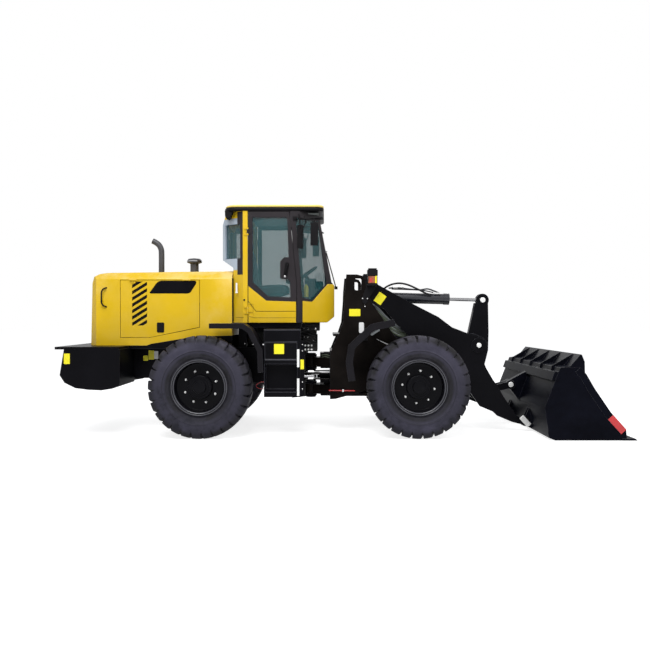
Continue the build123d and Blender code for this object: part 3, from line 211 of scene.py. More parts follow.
def finish(name, colour, roughness, **changes):
    # One Principled finish. Its colour wanders between two shades by a broad noise, a lighter tint gathers in
    # patches on faces that look up (real dust, and in some finishes a painted highlight and painted sky
    # reflection), painted shade darkens it below a height, and a fine noise bumps the surface.
    values = {**plainFinish, **changes}
    material = bpy.data.materials.new(name)
    material.use_nodes = True
    tree = material.node_tree
    shader = tree.nodes["Principled BSDF"]
    broad = noiseOf(tree, values["broadScale"])
    shades = addNode(tree, "ValToRGB", {"Fac": broad})
    for stop, position, sign in zip(shades.color_ramp.elements, values["shadeEnds"], (-1, 1)):
        stop.position = position
        stop.color = opaque(min(1, part * (1 + sign * values["spread"])) for part in colour)
    result = shades.outputs["Color"]
    # a darker colour by the zone attribute; on tyres, the clean tread's own colour and painted shade by the
    # rim and under the rib
    if values["zoneColour"]:
        zone = addNode(tree, "Attribute", attribute_name="zone")
        result = blendOf(tree, zone.outputs["Fac"], result, values["zoneColour"])
    # real dust, and in some finishes a painted highlight and painted sky reflection, on faces that look up
    if values["dust"]:
        lying = rangeOf(tree, upOf(tree, "NewGeometry", "Normal"), *facesUp, values["dustBase"], 1.0)
        patch = rangeOf(tree, noiseOf(tree, values["dustScale"], *values["dustNoise"]), *values["dustEnds"])
        share = productOf(tree, productOf(tree, lying, patch), values["dust"])
        result = blendOf(tree, share, result, values["dustColour"])
    # painted shade: darker towards the bottom, below a height
    if values["dirt"]:
        low = rangeOf(tree, upOf(tree, "TexCoord", "Object"), values["dirtTop"], values["dirtFoot"])
        patch = rangeOf(tree, noiseOf(tree, values["dirtScale"], *values["dirtNoise"]), *values["dirtEnds"])
        share = productOf(tree, productOf(tree, low, patch), values["dirt"])
        result = blendOf(tree, share, result, values["dirtColour"])
    smooth = max(values["leastRoughness"], roughness - values["roughSpread"])
    rough = min(1, roughness + values["roughSpread"])
    bump = addNode(tree, "Bump", {"Strength": values["bump"], "Distance": values["bumpDistance"],
                                  "Height": noiseOf(tree, values["fineScale"], values["fineDetail"])})
    tree.links.new(result, shader.inputs["Base Color"])
    tree.links.new(rangeOf(tree, broad, 0.0, 1.0, smooth, rough), shader.inputs["Roughness"])
    tree.links.new(bump.outputs["Normal"], shader.inputs["Normal"])
    for socket, key in (("Metallic", "metallic"), ("Specular IOR Level", "specular"), ("Coat Weight", "coat"),
                        ("Coat Roughness", "coatRoughness"), ("Alpha", "alpha")):
        shader.inputs[socket].default_value = values[key]
    return material


finishTable = {
    # finish: the record's material slot, then the material
    # the cream on faces that look up is partly dust, partly a painted highlight on the hood's top
    "yellow": ("yellow_paint", finish(
        "yellowPaint", (0.67, 0.430, 0.006), 0.36, coat=0.06, specular=0.22, spread=0.05,
        dust=0.60, dustBase=0.0, dustColour=(0.82, 0.70, 0.40), dustScale=3.0, fineScale=140)),
    "roof": ("yellow_paint", finish(
        "roofPaint", (0.80, 0.60, 0.14), 0.40, coat=0.1, specular=0.3, spread=0.05)),
    "black": ("black_paint", finish(
        "blackPaint", (0.0030, 0.0029, 0.0042), 0.36, specular=0.05, spread=0.25, bump=0.03, dust=0.04,
        dustColour=(0.045, 0.043, 0.041), fineScale=120)),
    # a lighter finish for rounded edges: partly wear, partly a painted highlight along the edges
    "blackEdgeWearAndSheen": ("black_paint", finish(
        "blackPaintEdgeWearAndSheen", (0.022, 0.022, 0.030), 0.34, specular=0.25, spread=0.3, bump=0.03)),
    # the brown on faces that look up is a painted reflection
    "tower": ("black_paint", finish(
        "towerPaint", (0.0070, 0.0055, 0.0050), 0.36, specular=0.03, spread=0.45, bump=0.03, dust=0.12,
        dustColour=(0.05, 0.04, 0.03))),
    # the blue on faces that look up is a painted sky reflection
    "bucket": ("black_paint", finish(
        "bucketPaint", (0.0030, 0.0032, 0.0058), 0.40, specular=0.025, spread=0.3, bump=0.04, dust=0.16,
        dustColour=(0.020, 0.026, 0.048), fineScale=90)),
    # the purple-grey on faces that look up is a painted highlight
    "fender": ("fender_plastic", finish(
        "fenderPaint", (0.0055, 0.0049, 0.0066), 0.38, specular=0.11, bump=0.03, dust=0.10,
        dustColour=(0.07, 0.065, 0.09))),
    "pillar": ("black_paint", finish(
        "pillarPaint", (0.0205, 0.0172, 0.0200), 0.42, specular=0.16, spread=0.12)),
    "iron": ("cast_engine", finish(
        "castIron", (0.012, 0.012, 0.012), 0.6, specular=0.2, spread=0.3, bump=0.15, dust=0.25)),
    "exhaust": ("exhaust_paint", finish("exhaustPaint", (0.040, 0.040, 0.046), 0.45, spread=0.25, bump=0.05)),
    "barrel": ("black_paint", finish(
        "barrelPaint", (0.012, 0.013, 0.019), 0.26, specular=0.5, bump=0.03)),
    "cylinder": ("black_paint", finish(
        "cylinderPaint", (0.0045, 0.0045, 0.006), 0.30, specular=0.2, bump=0.03)),
    "steel": ("chrome_rod", finish(
        "barSteel", (0.55, 0.55, 0.56), 0.28, metallic=1.0, spread=0.1, bump=0.03)),
    "chrome": ("chrome_rod", finish(
        "chromeRod", (0.30, 0.30, 0.31), 0.18, metallic=1.0, spread=0.03, bump=0.0)),
    "zinc": ("chrome_rod", finish(
        "zincPlate", (0.80, 0.80, 0.79), 0.38, metallic=0.4, spread=0.1, bump=0.04)),
    "pipe": ("worn_steel", finish(
        "pipeGrey", (0.26, 0.28, 0.29), 0.35, metallic=0.6, spread=0.15, bump=0.04)),
    "hose": ("cab_plastic", finish(
        "hoseRubber", (0.010, 0.010, 0.011), 0.55, specular=0.2, bump=0.12, fineScale=300)),
    "hoseGreen": ("cab_plastic", finish(
        "hoseSleeve", (0.075, 0.092, 0.060), 0.6, spread=0.35, bump=0.25, broadScale=22, fineScale=220)),
    "rim": ("rim_paint", finish(
        "rimPaint", (0.0032, 0.0032, 0.0045), 0.28, specular=0.06, dust=0.08,
        dustColour=(0.045, 0.042, 0.048))),
    # a painted highlight on the rims of the wheel's flange
    "rimHighlight": ("rim_paint", finish(
        "rimPaintHighlight", (0.045, 0.045, 0.055), 0.26, specular=0.4)),
    # tyres: the purple-grey on faces that look up is partly dust, partly a painted highlight; the dark below
    # a height is painted shade; the zone colour darkens the clean tread and paints shade by the rim's flange
    # and under the sidewall rib
    "rubber": ("tyre_rubber", finish(
        "tyreRubber", (0.037, 0.035, 0.053), 0.70, bump=0.14, dust=0.60, dustBase=0.38,
        dustColour=(0.120, 0.113, 0.155), dustScale=5.0, dirt=0.95, dirtTop=1.00, dirtFoot=0.50,
        dirtColour=(0.010, 0.010, 0.015), fineScale=75, specular=0.17, zoneColour=(0.013, 0.0125, 0.014))),
    "plastic": ("cab_plastic", finish(
        "blackPlastic", (0.0050, 0.0046, 0.0056), 0.50, specular=0.10, spread=0.15, bump=0.10,
        fineScale=260)),
    "glass": ("cab_glazing", finish(
        "cabGlass", (0.030, 0.110, 0.122), 0.04, spread=0.10, bump=0.0, alpha=0.38, specular=0.7,
        roughSpread=0.02)),
    # an opaque pale blue-grey that paints the sky's reflection in the cab's rear quarter glass
    "pane": ("cab_glazing", finish(
        "quarterPane", (0.36, 0.42, 0.50), 0.10, specular=0.6, spread=0.08, bump=0.0)),
    "lampGlass": ("lamp_lens", finish(
        "lampGlass", (0.72, 0.74, 0.76), 0.08, spread=0.08, coat=0.8, metallic=0.35)),
    "amber": ("lamp_lens", finish(
        "amberLens", (0.42, 0.095, 0.012), 0.14, spread=0.5, coat=0.7, broadScale=9)),
    "red": ("lamp_lens", finish("redLens", (0.45, 0.018, 0.014), 0.16, spread=0.25, coat=0.7)),
    "redPaint": ("black_paint", finish(
        "redPaint", (0.50, 0.014, 0.018), 0.35, spread=0.12, coat=0.3)),
    "plate": ("yellow_paint", finish("yellowPlate", (0.90, 0.80, 0.012), 0.40, spread=0.04, bump=0.01)),
    "plateWhite": ("worn_steel", finish("whitePlate", (0.80, 0.80, 0.80), 0.40, spread=0.04, bump=0.01)),
    "cloth": ("seat_fabric", finish(
        "seatCloth", (0.055, 0.058, 0.060), 0.85, spread=0.25, bump=0.35, fineScale=420, broadScale=8)),
    "lining": ("cab_plastic", finish("cabLining", (0.20, 0.22, 0.21), 0.6, spread=0.10, bump=0.05)),
}
finishes = {key: material for key, (_, material) in finishTable.items()}
print("finishes ready:", len(finishes))


def unit(vector):
    # The vector at length 1.
    vector = np.asarray(vector, float)
    return vector / np.linalg.norm(vector)


def joined(shapes):
    # Several (points, faces) as one.
    points, faces, count = [], [], 0
    for shapePoints, shapeFaces in shapes:
        points.append(np.asarray(shapePoints, float))
        faces += [tuple(index + count for index in face) for face in shapeFaces]
        count += len(shapePoints)
    return np.concatenate(points), faces


def gridFaces(rows, columns, wrapRows=False):
    # The quads of a grid of points, numbered row by row, whose rows are closed rings.
    faces = []
    for row in range(rows if wrapRows else rows - 1):
        here, there = row * columns, (row + 1) % rows * columns
        for column in range(columns):
            beside = (column + 1) % columns
            faces.append((here + column, here + beside, there + beside, there + column))
    return faces


def frameAlong(direction):
    # A direction at length 1, and two unit vectors across it.
    forward = unit(direction)
    across = unit(np.cross(forward, (0, 0, 1) if abs(forward[2]) < 0.9 else (1, 0, 0)))
    return forward, across, np.cross(forward, across)


def circleOf(across, third, count):
    # Points round a circle of radius 1: across times the cosine of the turn plus third times its sine.
    turn = np.linspace(0, 2 * pi, count, endpoint=False)
    return np.outer(np.cos(turn), across) + np.outer(np.sin(turn), third)


def turned(profile, centre, direction, count):
    # A form turned about a line. The profile lists (distance along the line, radius), and a radius near 0
    # closes it.
    forward, across, third = frameAlong(direction)
    profile = np.asarray(profile, float)
    points = (np.asarray(centre, float) + profile[:, 0, None, None] * forward
              + profile[:, 1, None, None] * circleOf(across, third, count)[None])
    return points.reshape(-1, 3), gridFaces(len(profile), count)


def bar(start, end, radius, count=16):
    # A round bar with flat ends, whose rims are softened by a fifth of the radius or 1.5, whichever is
    # less.
    run = np.subtract(end, start)
    length = np.linalg.norm(run)
    soft = min(radius * 0.2, 1.5)
    profile = [(0, 0.01), (0, radius - soft), (soft, radius), (length - soft, radius),
               (length, radius - soft), (length, 0.01)]
    return turned(profile, start, run, count)


def prism(outline, low, high):
    # An outline of (X, Z) between two planes across Y.
    count = len(outline)
    points = [(x, level, z) for level in (low, high) for x, z in outline]
    around = [(index, (index + 1) % count, count + (index + 1) % count, count + index)
              for index in range(count)]
    return np.asarray(points, float), around + [tuple(range(count))[::-1], tuple(range(count, 2 * count))]


def brick(xFrom, xTo, yFrom, yTo, zFrom, zTo):
    # A rectangular block.
    return prism([(xFrom, zFrom), (xTo, zFrom), (xTo, zTo), (xFrom, zTo)], yFrom, yTo)


def roundedOutline(xFrom, xTo, low, high, radius, steps=5, frontRadius=None):
    # A rectangle with round corners: each an arc of centre plus radius times (cosine, sine). The corners at
    # its high X may have a radius of their own.
    front = frontRadius or radius
    corners = ((xTo - front, high - front, front), (xFrom + radius, high - radius, radius),
               (xFrom + radius, low + radius, radius), (xTo - front, low + front, front))
    points = []
    for index, (x, other, reach) in enumerate(corners):
        for step in range(steps):
            angle = radians(90 * index + 90 * step / (steps - 1))
            points.append((x + reach * cos(angle), other + reach * sin(angle)))
    return points


def tilted(outline, centre, degrees):
    # An outline turned about its own centre and set at a place.
    angle = radians(degrees)
    return [(centre[0] + x * cos(angle) - z * sin(angle), centre[1] + x * sin(angle) + z * cos(angle))
            for x, z in outline]


def smoothRoute(route, steps=8):
    # A Catmull-Rom curve: between two points it is the cubic whose slope at each is half the step between
    # its neighbours.
    route = np.asarray(route, float)
    ends = np.vstack([2 * route[0] - route[1], route, 2 * route[-1] - route[-2]])
    pieces = []
    for index in range(1, len(ends) - 2):
        a, b, c, d = ends[index - 1:index + 3]
        t = np.linspace(0, 1, steps, endpoint=False)[:, None]
        pieces.append(0.5 * (2 * b + (c - a) * t + (2 * a - 5 * b + 4 * c - d) * t**2
                             + (3 * b - a - 3 * c + d) * t**3))
    return np.vstack(pieces + [route[-1:]])


def tube(route, radius, count=12, smooth=True):
    # A round tube along a route, carried along it without twist, whose ends shrink to a fiftieth to close
    # it.
    path = smoothRoute(route) if smooth else np.asarray(route, float)
    headings = np.gradient(path, axis=0)
    headings /= np.linalg.norm(headings, axis=1)[:, None]
    _, across, _ = frameAlong(headings[0])
    rings = []
    for spot, forward in zip(path, headings):
        across = unit(across - forward * across.dot(forward))
        rings.append(spot + radius * circleOf(across, np.cross(forward, across), count))
    rings = [rings[0] * 0.02 + path[0] * 0.98] + rings + [rings[-1] * 0.02 + path[-1] * 0.98]
    return np.vstack(rings), gridFaces(len(rings), count)


def hexBolt(spot, direction, size, height):
    # A washer, a six-sided head and its low crown; the widths are shares of the size.
    washer = turned([(0, 0.01), (0, size * 0.72), (2.0, size * 0.72), (2.4, size * 0.5)], spot, direction, 20)
    head = turned([(2, size * 0.5), (height - 1.5, size * 0.5), (height, size * 0.43), (height, 0.01)],
                  spot, direction, 6)
    return joined([washer, head])


def boltRow(spots, y, size, height):
    # Bolts at (X, Z) places on a right-hand face.
    return joined([hexBolt((x, y, z), outward, size, height) for x, z in spots])


def fitting(spot, direction, radius, length):
    # A hose's end: a crimped sleeve and a six-sided nut, in shares of the hose's radius and the fitting's
    # length.
    sleeve = turned([(0, radius * 0.9), (0, radius * 1.25), (length * 0.55, radius * 1.25),
                     (length * 0.6, radius)], spot, direction, 16)
    nut = turned([(length * 0.6, radius * 0.6), (length * 0.6, radius * 1.45), (length, radius * 1.45),
                  (length, 0.01)], spot, direction, 6)
    return joined([sleeve, nut])


def roundPlate(box, radius, low, high, steps=5):
    # A plate with round corners between two planes across Y. The box is X from and to, then Z from and to.
    return prism(roundedOutline(*box, radius, steps), low, high)


def flatPlate(box, y, radius=6.0):
    # A thin blank plate that stands on the right-hand face at that Y and sinks half a millimetre into it.
    return roundPlate(box, radius, y - 2.0, y + 0.5, 4)


def line(route, width, low, high):
    # A narrow raised line between the points of a route of (X, Z), longer by half its width at each end.
    pieces = []
    for start, end in zip(route[:-1], route[1:]):
        ahead = unit(np.subtract(end, start)) * width / 2
        aside = np.array((-ahead[1], ahead[0]))
        start, end = start - ahead, end + ahead
        pieces.append(prism([start + aside, end + aside, end - aside, start - aside], low, high))
    return joined(pieces)


def mirrored(shape):
    # The same shape on the machine's other side.
    points, faces = shape
    return np.asarray(points) * (1, -1, 1), faces


def onSide(shape, side):
    # A right-hand shape, on the machine's left where the side is 1.
    return mirrored(shape) if side > 0 else shape


def bothSides(shape):
    # A right-hand shape together with its left-hand twin.
    return joined([shape, mirrored(shape)])


softening = {
    "segments": 2,
    "trimAngle": 40,  # edges sharper than this, in degrees, are rounded on the trim
    "solidAngle": 32,  # and on the copies of the solids
    "flatAngle": 0.5,  # neighbouring faces within this angle are one flat face
    "mergeDistance": 2e-5,
    "cutDistance": 1e-6,
}


def addRounding(piece, width, angle):
    # A bevel on the edges sharper than the angle, which keeps the flat faces' shading.
    rounding = piece.modifiers.new("rounding", "BEVEL")
    rounding.width = width * mm
    rounding.segments = softening["segments"]
    rounding.limit_method = "ANGLE"
    rounding.angle_limit = radians(angle)
    rounding.harden_normals = True
    return rounding


def place(name, shape, material, body, bevel=0, smoothAngle=35.0, slot=None, replaces=()):
    # The shape as an object that rides on a body, with its own finish and softened edges.
    points, faces = shape
    mesh = bpy.data.meshes.new(name)
    mesh.from_pydata((np.asarray(points) * mm).tolist(), [], faces)
    mesh.polygons.foreach_set("use_smooth", [True] * len(mesh.polygons))
    work = bmesh.new()
    work.from_mesh(mesh)
    bmesh.ops.recalc_face_normals(work, faces=work.faces)
    work.to_mesh(mesh)
    work.free()
    mesh.set_sharp_from_angle(angle=radians(smoothAngle))
    mesh.materials.append(finishes[material])
    piece = addObject(name, mesh)
    if bevel:
        addRounding(piece, bevel, softening["trimAngle"])
    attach(piece, body)
    if replaces:
        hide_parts(*replaces)
    return piece


def placeAll(table):
    # The pieces of a table. It gives, for each body, each piece's shape, its finish and, if it has one, its
    # bevel.
    for body, pieces in table.items():
        for name, (shape, material, *bevel) in pieces.items():
            place(name, shape, material, body, *bevel)


def roundedCopy(node, width, material, edgeMaterial=None, marks=()):
    # A merged copy of a solid with its flat faces joined, whose sharp edges are rounded by a bevel of that
    # width. Each mark cuts the copy along pairs of parallel planes and gives the faces that lie between the
    # planes of every pair, beyond a half width, a finish of their own.
    work = bmesh.new()
    work.from_mesh(nodes[node].data)
    bmesh.ops.remove_doubles(work, verts=work.verts, dist=softening["mergeDistance"])
    if node not in louvred:
        bmesh.ops.dissolve_limit(work, angle_limit=radians(softening["flatAngle"]), verts=work.verts,
                                 edges=work.edges)
    for face in work.faces:
        face.smooth = True
        face.material_index = 0
    materials = [finishes[material]]
    if edgeMaterial:
        materials.append(finishes[edgeMaterial])
    for markMaterial, halfWidth, pairs in marks:
        slabs = [(Vector(direction).normalized(), low * mm, high * mm) for direction, low, high in pairs]
        for heading, *levels in slabs:
            for level in levels:
                bmesh.ops.bisect_plane(work, geom=work.verts[:] + work.edges[:] + work.faces[:],
                                       plane_co=heading * level, plane_no=heading,
                                       dist=softening["cutDistance"])
        for face in work.faces:
            middle = face.calc_center_median()
            between = all(low < middle.dot(heading) < high for heading, low, high in slabs)
            if between and abs(middle.y) > halfWidth * mm:
                face.material_index = len(materials)
        materials.append(finishes[markMaterial])
    mesh = bpy.data.meshes.new(node + "Shape")
    work.to_mesh(mesh)
    work.free()
    if "custom_normal" in mesh.attributes:
        mesh.attributes.remove(mesh.attributes["custom_normal"])
    for entry in materials:
        mesh.materials.append(entry)
    piece = addObject(node + "Shape", mesh)
    rounding = addRounding(piece, width, softening["solidAngle"])
    rounding.miter_outer = "MITER_ARC"
    # the bevel's faces take the edge finish, a painted highlight with wear
    if edgeMaterial:
        rounding.material = 1
    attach(piece, bodyOf[node])
    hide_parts(node)


louvred = ("hood_door_right", "hood_door_left")  # faces with many holes, which stay in triangles
roundedNodes = {
    # finish and, where it differs, the edges' lighter finish, partly wear and partly a painted highlight:
    # nodes and their bevel widths
    ("yellow",): {"engine_hood": 6, "cab_nose": 10, "door_skin_right": 2.5, "door_skin_left": 2.5},
    ("black", "blackEdgeWearAndSheen"): {"hood_sills": 3, "rear_frame": 4, "boom": 4, "bell_crank": 5, "bucket_link": 4,
                             "counterweight": 8, "cab_platform": 4, "fuel_tank": 5, "hydraulic_tank": 5,
                             "rear_grille": 2},
    ("black",): {"front_axle": 6, "rear_axle": 6},
    ("tower", "blackEdgeWearAndSheen"): {"front_frame": 4},
    ("bucket", "blackEdgeWearAndSheen"): {"cutting_edge": 3},
    ("fender", "blackEdgeWearAndSheen"): {"front_fenders": 2, "rear_fenders": 2},
    ("pillar",): {"cab_frame": 5},
    ("iron",): {"transmission": 6},
    ("plastic",): {"dash_console": 6, "mirrors": 18, "headlamps": 4},
    ("red",): {"tail_lamps": 4},
}
alongX, alongZ = (1, 0, 0), (0, 0, 1)
markedAreas = {
    # finish, the half width beyond which a face is marked, then pairs of planes: direction, from, to
    "guard": ("redPaint", 1120, [((155, 0, -174), 1819, 2052)]),
    "quarter": ("pillar", 400, [(alongX, -1290, -1216), (alongZ, 1930, 2695)]),
    # the rear quarter window, painted as opaque pale glass: a painted sky reflection
    "quarterPane": ("pane", 300, [(alongX, -1600, -1290), (alongZ, 1990, 2620)]),
    "hingeLeaf": ("yellow", 639, [(alongX, -1190, -1087), (alongZ, 1420, 1580)]),
    "handleWell": ("black", 560.5, [(alongX, -1945, -1875), (alongZ, 1800, 1860)]),
}
keptNodes = {
    # finish: the nodes that keep the solid's own shape
    "iron": ("engine_block", "radiator"),
    "exhaust": ("air_precleaner",),
    "cylinder": ("lift_barrels",),
    "barrel": ("tilt_barrel",),
    "black": ("front_driveshaft", "steer_barrel_right", "steer_barrel_left"),
    "chrome": ("lift_rods", "tilt_rod", "steer_rod_right", "steer_rod_left"),
    "glass": ("cab_glass", "door_glass_right", "door_glass_left"),
}


def buildSolids(areas):
    # The solids' rounded copies. The bucket's side edges carry a red mark, the cab's rear quarters are dark
    # round their windows, the cab doors' lower hinge leaves are body colour, and the hood doors' handle
    # wells are dark.
    for materials, widths in roundedNodes.items():
        for node, width in widths.items():
            roundedCopy(node, width, *materials)
    roundedCopy("bucket", 3, "bucket", "blackEdgeWearAndSheen", marks=[areas["guard"]])
    roundedCopy("cab_body", 6, "yellow", marks=[areas["quarter"], areas["quarterPane"]])
    for name, _ in sides:
        roundedCopy(f"cab_door_{name}", 4, "pillar", marks=[areas["hingeLeaf"]])
        roundedCopy(f"hood_door_{name}", 2, "yellow", marks=[areas["handleWell"]])
    for material, names in keptNodes.items():
        for node in names:
            nodes[node].data.materials.clear()
            nodes[node].data.materials.append(finishes[material])


buildSolids(markedAreas)
print("solids dressed")

wheelPlaces = {
    # name: axle X, side, first nut's angle
    "front_right": (870.0, -1, -7.3),
    "front_left": (870.0, 1, -7.3),
    "rear_right": (-1677.0, -1, 19.4),
    "rear_left": (-1677.0, 1, 19.4),
}
axleZ, wheelY = 600.0, 870.0
tyre = {
    "lugs": 28,
    # columns across one lug pitch, in shares of the pitch, closer together at the notches
    "columns": (0.0, 0.12, 0.24, 0.33, 0.362, 0.386, 0.410, 0.435, 0.465,
                0.5, 0.535, 0.565, 0.590, 0.614, 0.638, 0.67, 0.76, 0.88),
    # half width and radius on a lug, then in a notch, then the notch's half width in shares of the pitch
    "tread": [(0, 600, 0, 578, 0.03), (30, 600, 30, 572, 0.05), (60, 599.5, 60, 566, 0.07),
              (90, 599, 90, 562, 0.085), (120, 598, 120, 561, 0.095), (145, 596, 145, 559, 0.10),
              (163, 592.5, 158, 556, 0.10), (176, 587, 166, 550, 0.10), (185.5, 579, 173, 544, 0.095),
              (192, 569, 179, 538, 0.085), (197, 557, 185.5, 532, 0.075), (200.5, 544, 191.5, 527, 0.066),
              (203, 530, 198, 521.5, 0.055), (204.6, 515, 203.6, 514, 0.05)],
    # half width and radius down the sidewall to the bead
    "wall": [(205, 500), (204.6, 482), (203.2, 464), (201, 449), (199, 438), (200.6, 434), (200.6, 429.5),
             (197, 426), (192.5, 413), (186, 398), (178.5, 383), (171.5, 368), (167, 357), (165, 351.5),
             (160, 348.5), (157, 342), (156, 335), (154.5, 327), (151, 313), (147.3, 302), (146, 300.4)],
    "notchEdge": 0.022,  # a notch's slope, in shares of the pitch
    "slant": 0.25,  # how far a lug slides by the shoulder, in shares of the pitch
    "shoulder": 150,
    "cleanRadii": (508, 548),  # the tread's dark colour fades in between these radii
    "beadRadii": (385, 405),  # a painted shade by the rim's flange fades out between these
    "beadPaintedShade": 0.95,
    # the radius of a painted shade line under the sidewall rib, and its share
    "ribRadius": 426,
    "ribPaintedShade": 0.7,
}


def tyreShape(values):
    # Both halves of the tyre as one closed grid. Each row gives a lug height and a notch height, and a
    # column takes one or the other by a smooth step at the notch's edge. The columns slide by a quarter
    # pitch from the middle to each shoulder, so the lugs run slantwise across the tread.
    lugs, columns = values["lugs"], np.asarray(values["columns"])
    turns = (np.arange(lugs)[:, None] + columns[None]).ravel() / lugs
    fromNotch = np.abs(np.tile(columns, lugs) - 0.5)
    rows = values["tread"] + [(y, r, y, r, 0.05) for y, r in values["wall"]]
    full = [(-y, r, -yLow, rLow, width) for y, r, yLow, rLow, width in rows[::-1]] + rows[1:]
    points, zone = [], []
    for y, r, yLow, rLow, notch in full:
        onLug = np.clip((fromNotch - notch) / values["notchEdge"], 0, 1)
        onLug = onLug * onLug * (3 - 2 * onLug)
        angle = 2 * pi * (turns + values["slant"] * np.clip(y / values["shoulder"], -1, 1) / lugs)
        radius = rLow + (r - rLow) * onLug
        across = yLow + (y - yLow) * onLug
        points.append(np.column_stack([radius * np.cos(angle), across, radius * np.sin(angle)]))
        # the darker share: the clean tread's own colour, painted shade by the rim's flange, and a painted
        # shade line under the rib
        shades = (np.interp(r, values["cleanRadii"], (0, 1)),
                  np.interp(r, values["beadRadii"], (values["beadPaintedShade"], 0)),
                  values["ribPaintedShade"] * (r == values["ribRadius"]))
        zone.append(np.full(len(turns), max(shades)))
    return np.vstack(points), gridFaces(len(full), len(turns), True), np.concatenate(zone)


def buildTyres(values):
    # The four tyres, each with a share of a darker colour kept as an attribute: the clean tread's own, and
    # painted shade by the rim's flange and under the sidewall rib.
    points, faces, zone = tyreShape(values)
    for name, (wheelX, side, _) in wheelPlaces.items():
        piece = place(f"tyre_{name}_form", (points + (wheelX, side * wheelY, axleZ), faces), "rubber",
                      f"wheel_{name}", slot="tyre_rubber", replaces=(f"tyre_{name}",), smoothAngle=38)
        layer = piece.data.attributes.new("zone", "FLOAT", "POINT")
        layer.data.foreach_set("value", zone)


wheel = {
    # distance outwards from the wheel's middle plane, and radius
    "profile": [
        (-100, 288), (-160, 291), (-178, 296), (-178, 322), (-175, 327), (-168, 328), (-163, 325),
        (-160, 312), (-156, 301), (-146, 300), (0, 299), (146, 300), (156, 301), (160, 312), (163, 325),
        (168, 328), (174, 327.6), (178, 323.5), (178, 317), (175, 313), (172, 311), (170, 305), (168, 297),
        (162, 291), (152, 287.5), (140, 286), (110, 284), (84, 281.5), (70, 279), (62, 275), (58.8, 269),
        (58, 262), (58, 240), (58, 150), (58.6, 145), (61.5, 142.2), (66, 141.2), (116, 137.6),
        (121.5, 136), (124, 132.5), (124, 114), (122, 112.5), (121.4, 110), (121.4, 104), (122, 101.5),
        (124, 100), (124, 80.5), (125.2, 78), (128, 76.8), (150, 74.6), (156, 72), (158, 67), (158, 20),
        (158, 0.01), (20, 0.01), (20, 46), (-120, 46), (-120, 130), (40, 150), (40, 262)],
    "turns": 128,
    # rows of faces that take a painted highlight on the flange's rims
    "highlightRows": (16, 17, 18, 21, 22),
    # how many, ring radius, height above the middle plane, angle after the first nut
    "nuts": (8, 190.0, 57.5, 0),
    "hubBolts": (12, 124.0, 123.6, 15),
    "hubBoltSize": (8.0, 7.0),
    # a nut's washer, its six sides and its stud: profile and sides
    "nut": [([(0, 0.01), (0, 14), (2.5, 14), (3.5, 12)], 24), ([(3, 11.5), (15, 11.5), (17, 10), (17, 7)], 6),
            ([(17, 7.0), (23, 6.8), (24.5, 5.5), (24.5, 0.01)], 16)],
}


def hubSpots(wheelX, side, firstNut, ring):
    # Places evenly spaced round the axle: its centre plus the ring's radius times (cosine, sine) of their
    # angle.
    count, radius, height, after = ring
    angles = [radians(firstNut + after + 360 / count * index) for index in range(count)]
    return [(wheelX + radius * cos(angle), side * (wheelY + height), axleZ + radius * sin(angle))
            for angle in angles]


def buildWheels(values):
    # Each wheel is one turned form with eight nuts on its disc and a ring of small bolts on its hub.
    turns = values["turns"]
    for name, (wheelX, side, firstNut) in wheelPlaces.items():
        body, away = f"wheel_{name}", (0, side, 0)
        form = turned(values["profile"], (wheelX, side * wheelY, axleZ), away, turns)
        piece = place(f"wheel_{name}_form", form, "rim", body, slot="rim_paint", replaces=(f"wheel_{name}",))
        # the lighter second finish is a painted highlight on those rows
        piece.data.materials.append(finishes["rimHighlight"])
        for row in values["highlightRows"]:
            for index in range(row * turns, (row + 1) * turns):
                piece.data.polygons[index].material_index = 1
        nutSpots = hubSpots(wheelX, side, firstNut, values["nuts"])
        boltSpots = hubSpots(wheelX, side, firstNut, values["hubBolts"])
        nuts = [turned(profile, spot, away, count) for spot in nutSpots for profile, count in values["nut"]]
        bolts = [hexBolt(spot, away, *values["hubBoltSize"]) for spot in boltSpots]
        place(f"wheel_{name}_nuts", joined(nuts), "zinc", body, slot="rim_paint")
        place(f"wheel_{name}_hub_bolts", joined(bolts), "rim", body, slot="rim_paint")


buildTyres(tyre)
buildWheels(wheel)
print("tyres and wheels ready")


def placeOnDoors(pieces, door):
    # A table's right-hand pieces on the right door, and their twins on the left one.
    for name, side in sides:
        turnedOver = {f"{piece}_{name}": (onSide(shape, side), *rest)
                      for piece, (shape, *rest) in pieces.items()}
        placeAll({f"{door}_{name}": turnedOver})


railFace, cabFace, doorFace = -360, -639, -645  # Y of the right-hand faces that carry trim
towerFace, stepFace, stripFace, armFace = -469, -924, -929, -440
labels = {
    # blank plates: body, then name, shape and finish
    "rear_chassis": {
        "label_weight": (flatPlate((-3249, -3180, 872, 993), -1000), "plate"),
        "label_rail_low": (flatPlate((-2493, -2435, 870, 935), railFace), "plate"),
        "label_rail_high": (flatPlate((-2428, -2357, 885, 1000), railFace), "plate"),
        "label_rail_white": (flatPlate((-2356, -2306, 893, 992), railFace), "plateWhite"),
        "label_step": (flatPlate((-818, -701, 984, 1101), -922), "plate"),
        "label_strip": (flatPlate((-518, -469, 806, 918), stepFace, 4.0), "plate"),
    },
    "front_chassis": {
        "label_tower": (flatPlate((77, 214, 1428, 1516), towerFace), "plate"),
        "label_tower_white": (flatPlate((197, 258, 1221, 1351), towerFace, 14), "plateWhite"),
    },
    "boom": {
        "label_boom": (prism(tilted(roundedOutline(-52, 52, -66, 66, 6, 4), (459, 1646), -35), armFace,
                             armFace + 2.5), "plate"),
    },
}
placeAll(labels)
print("labels ready")

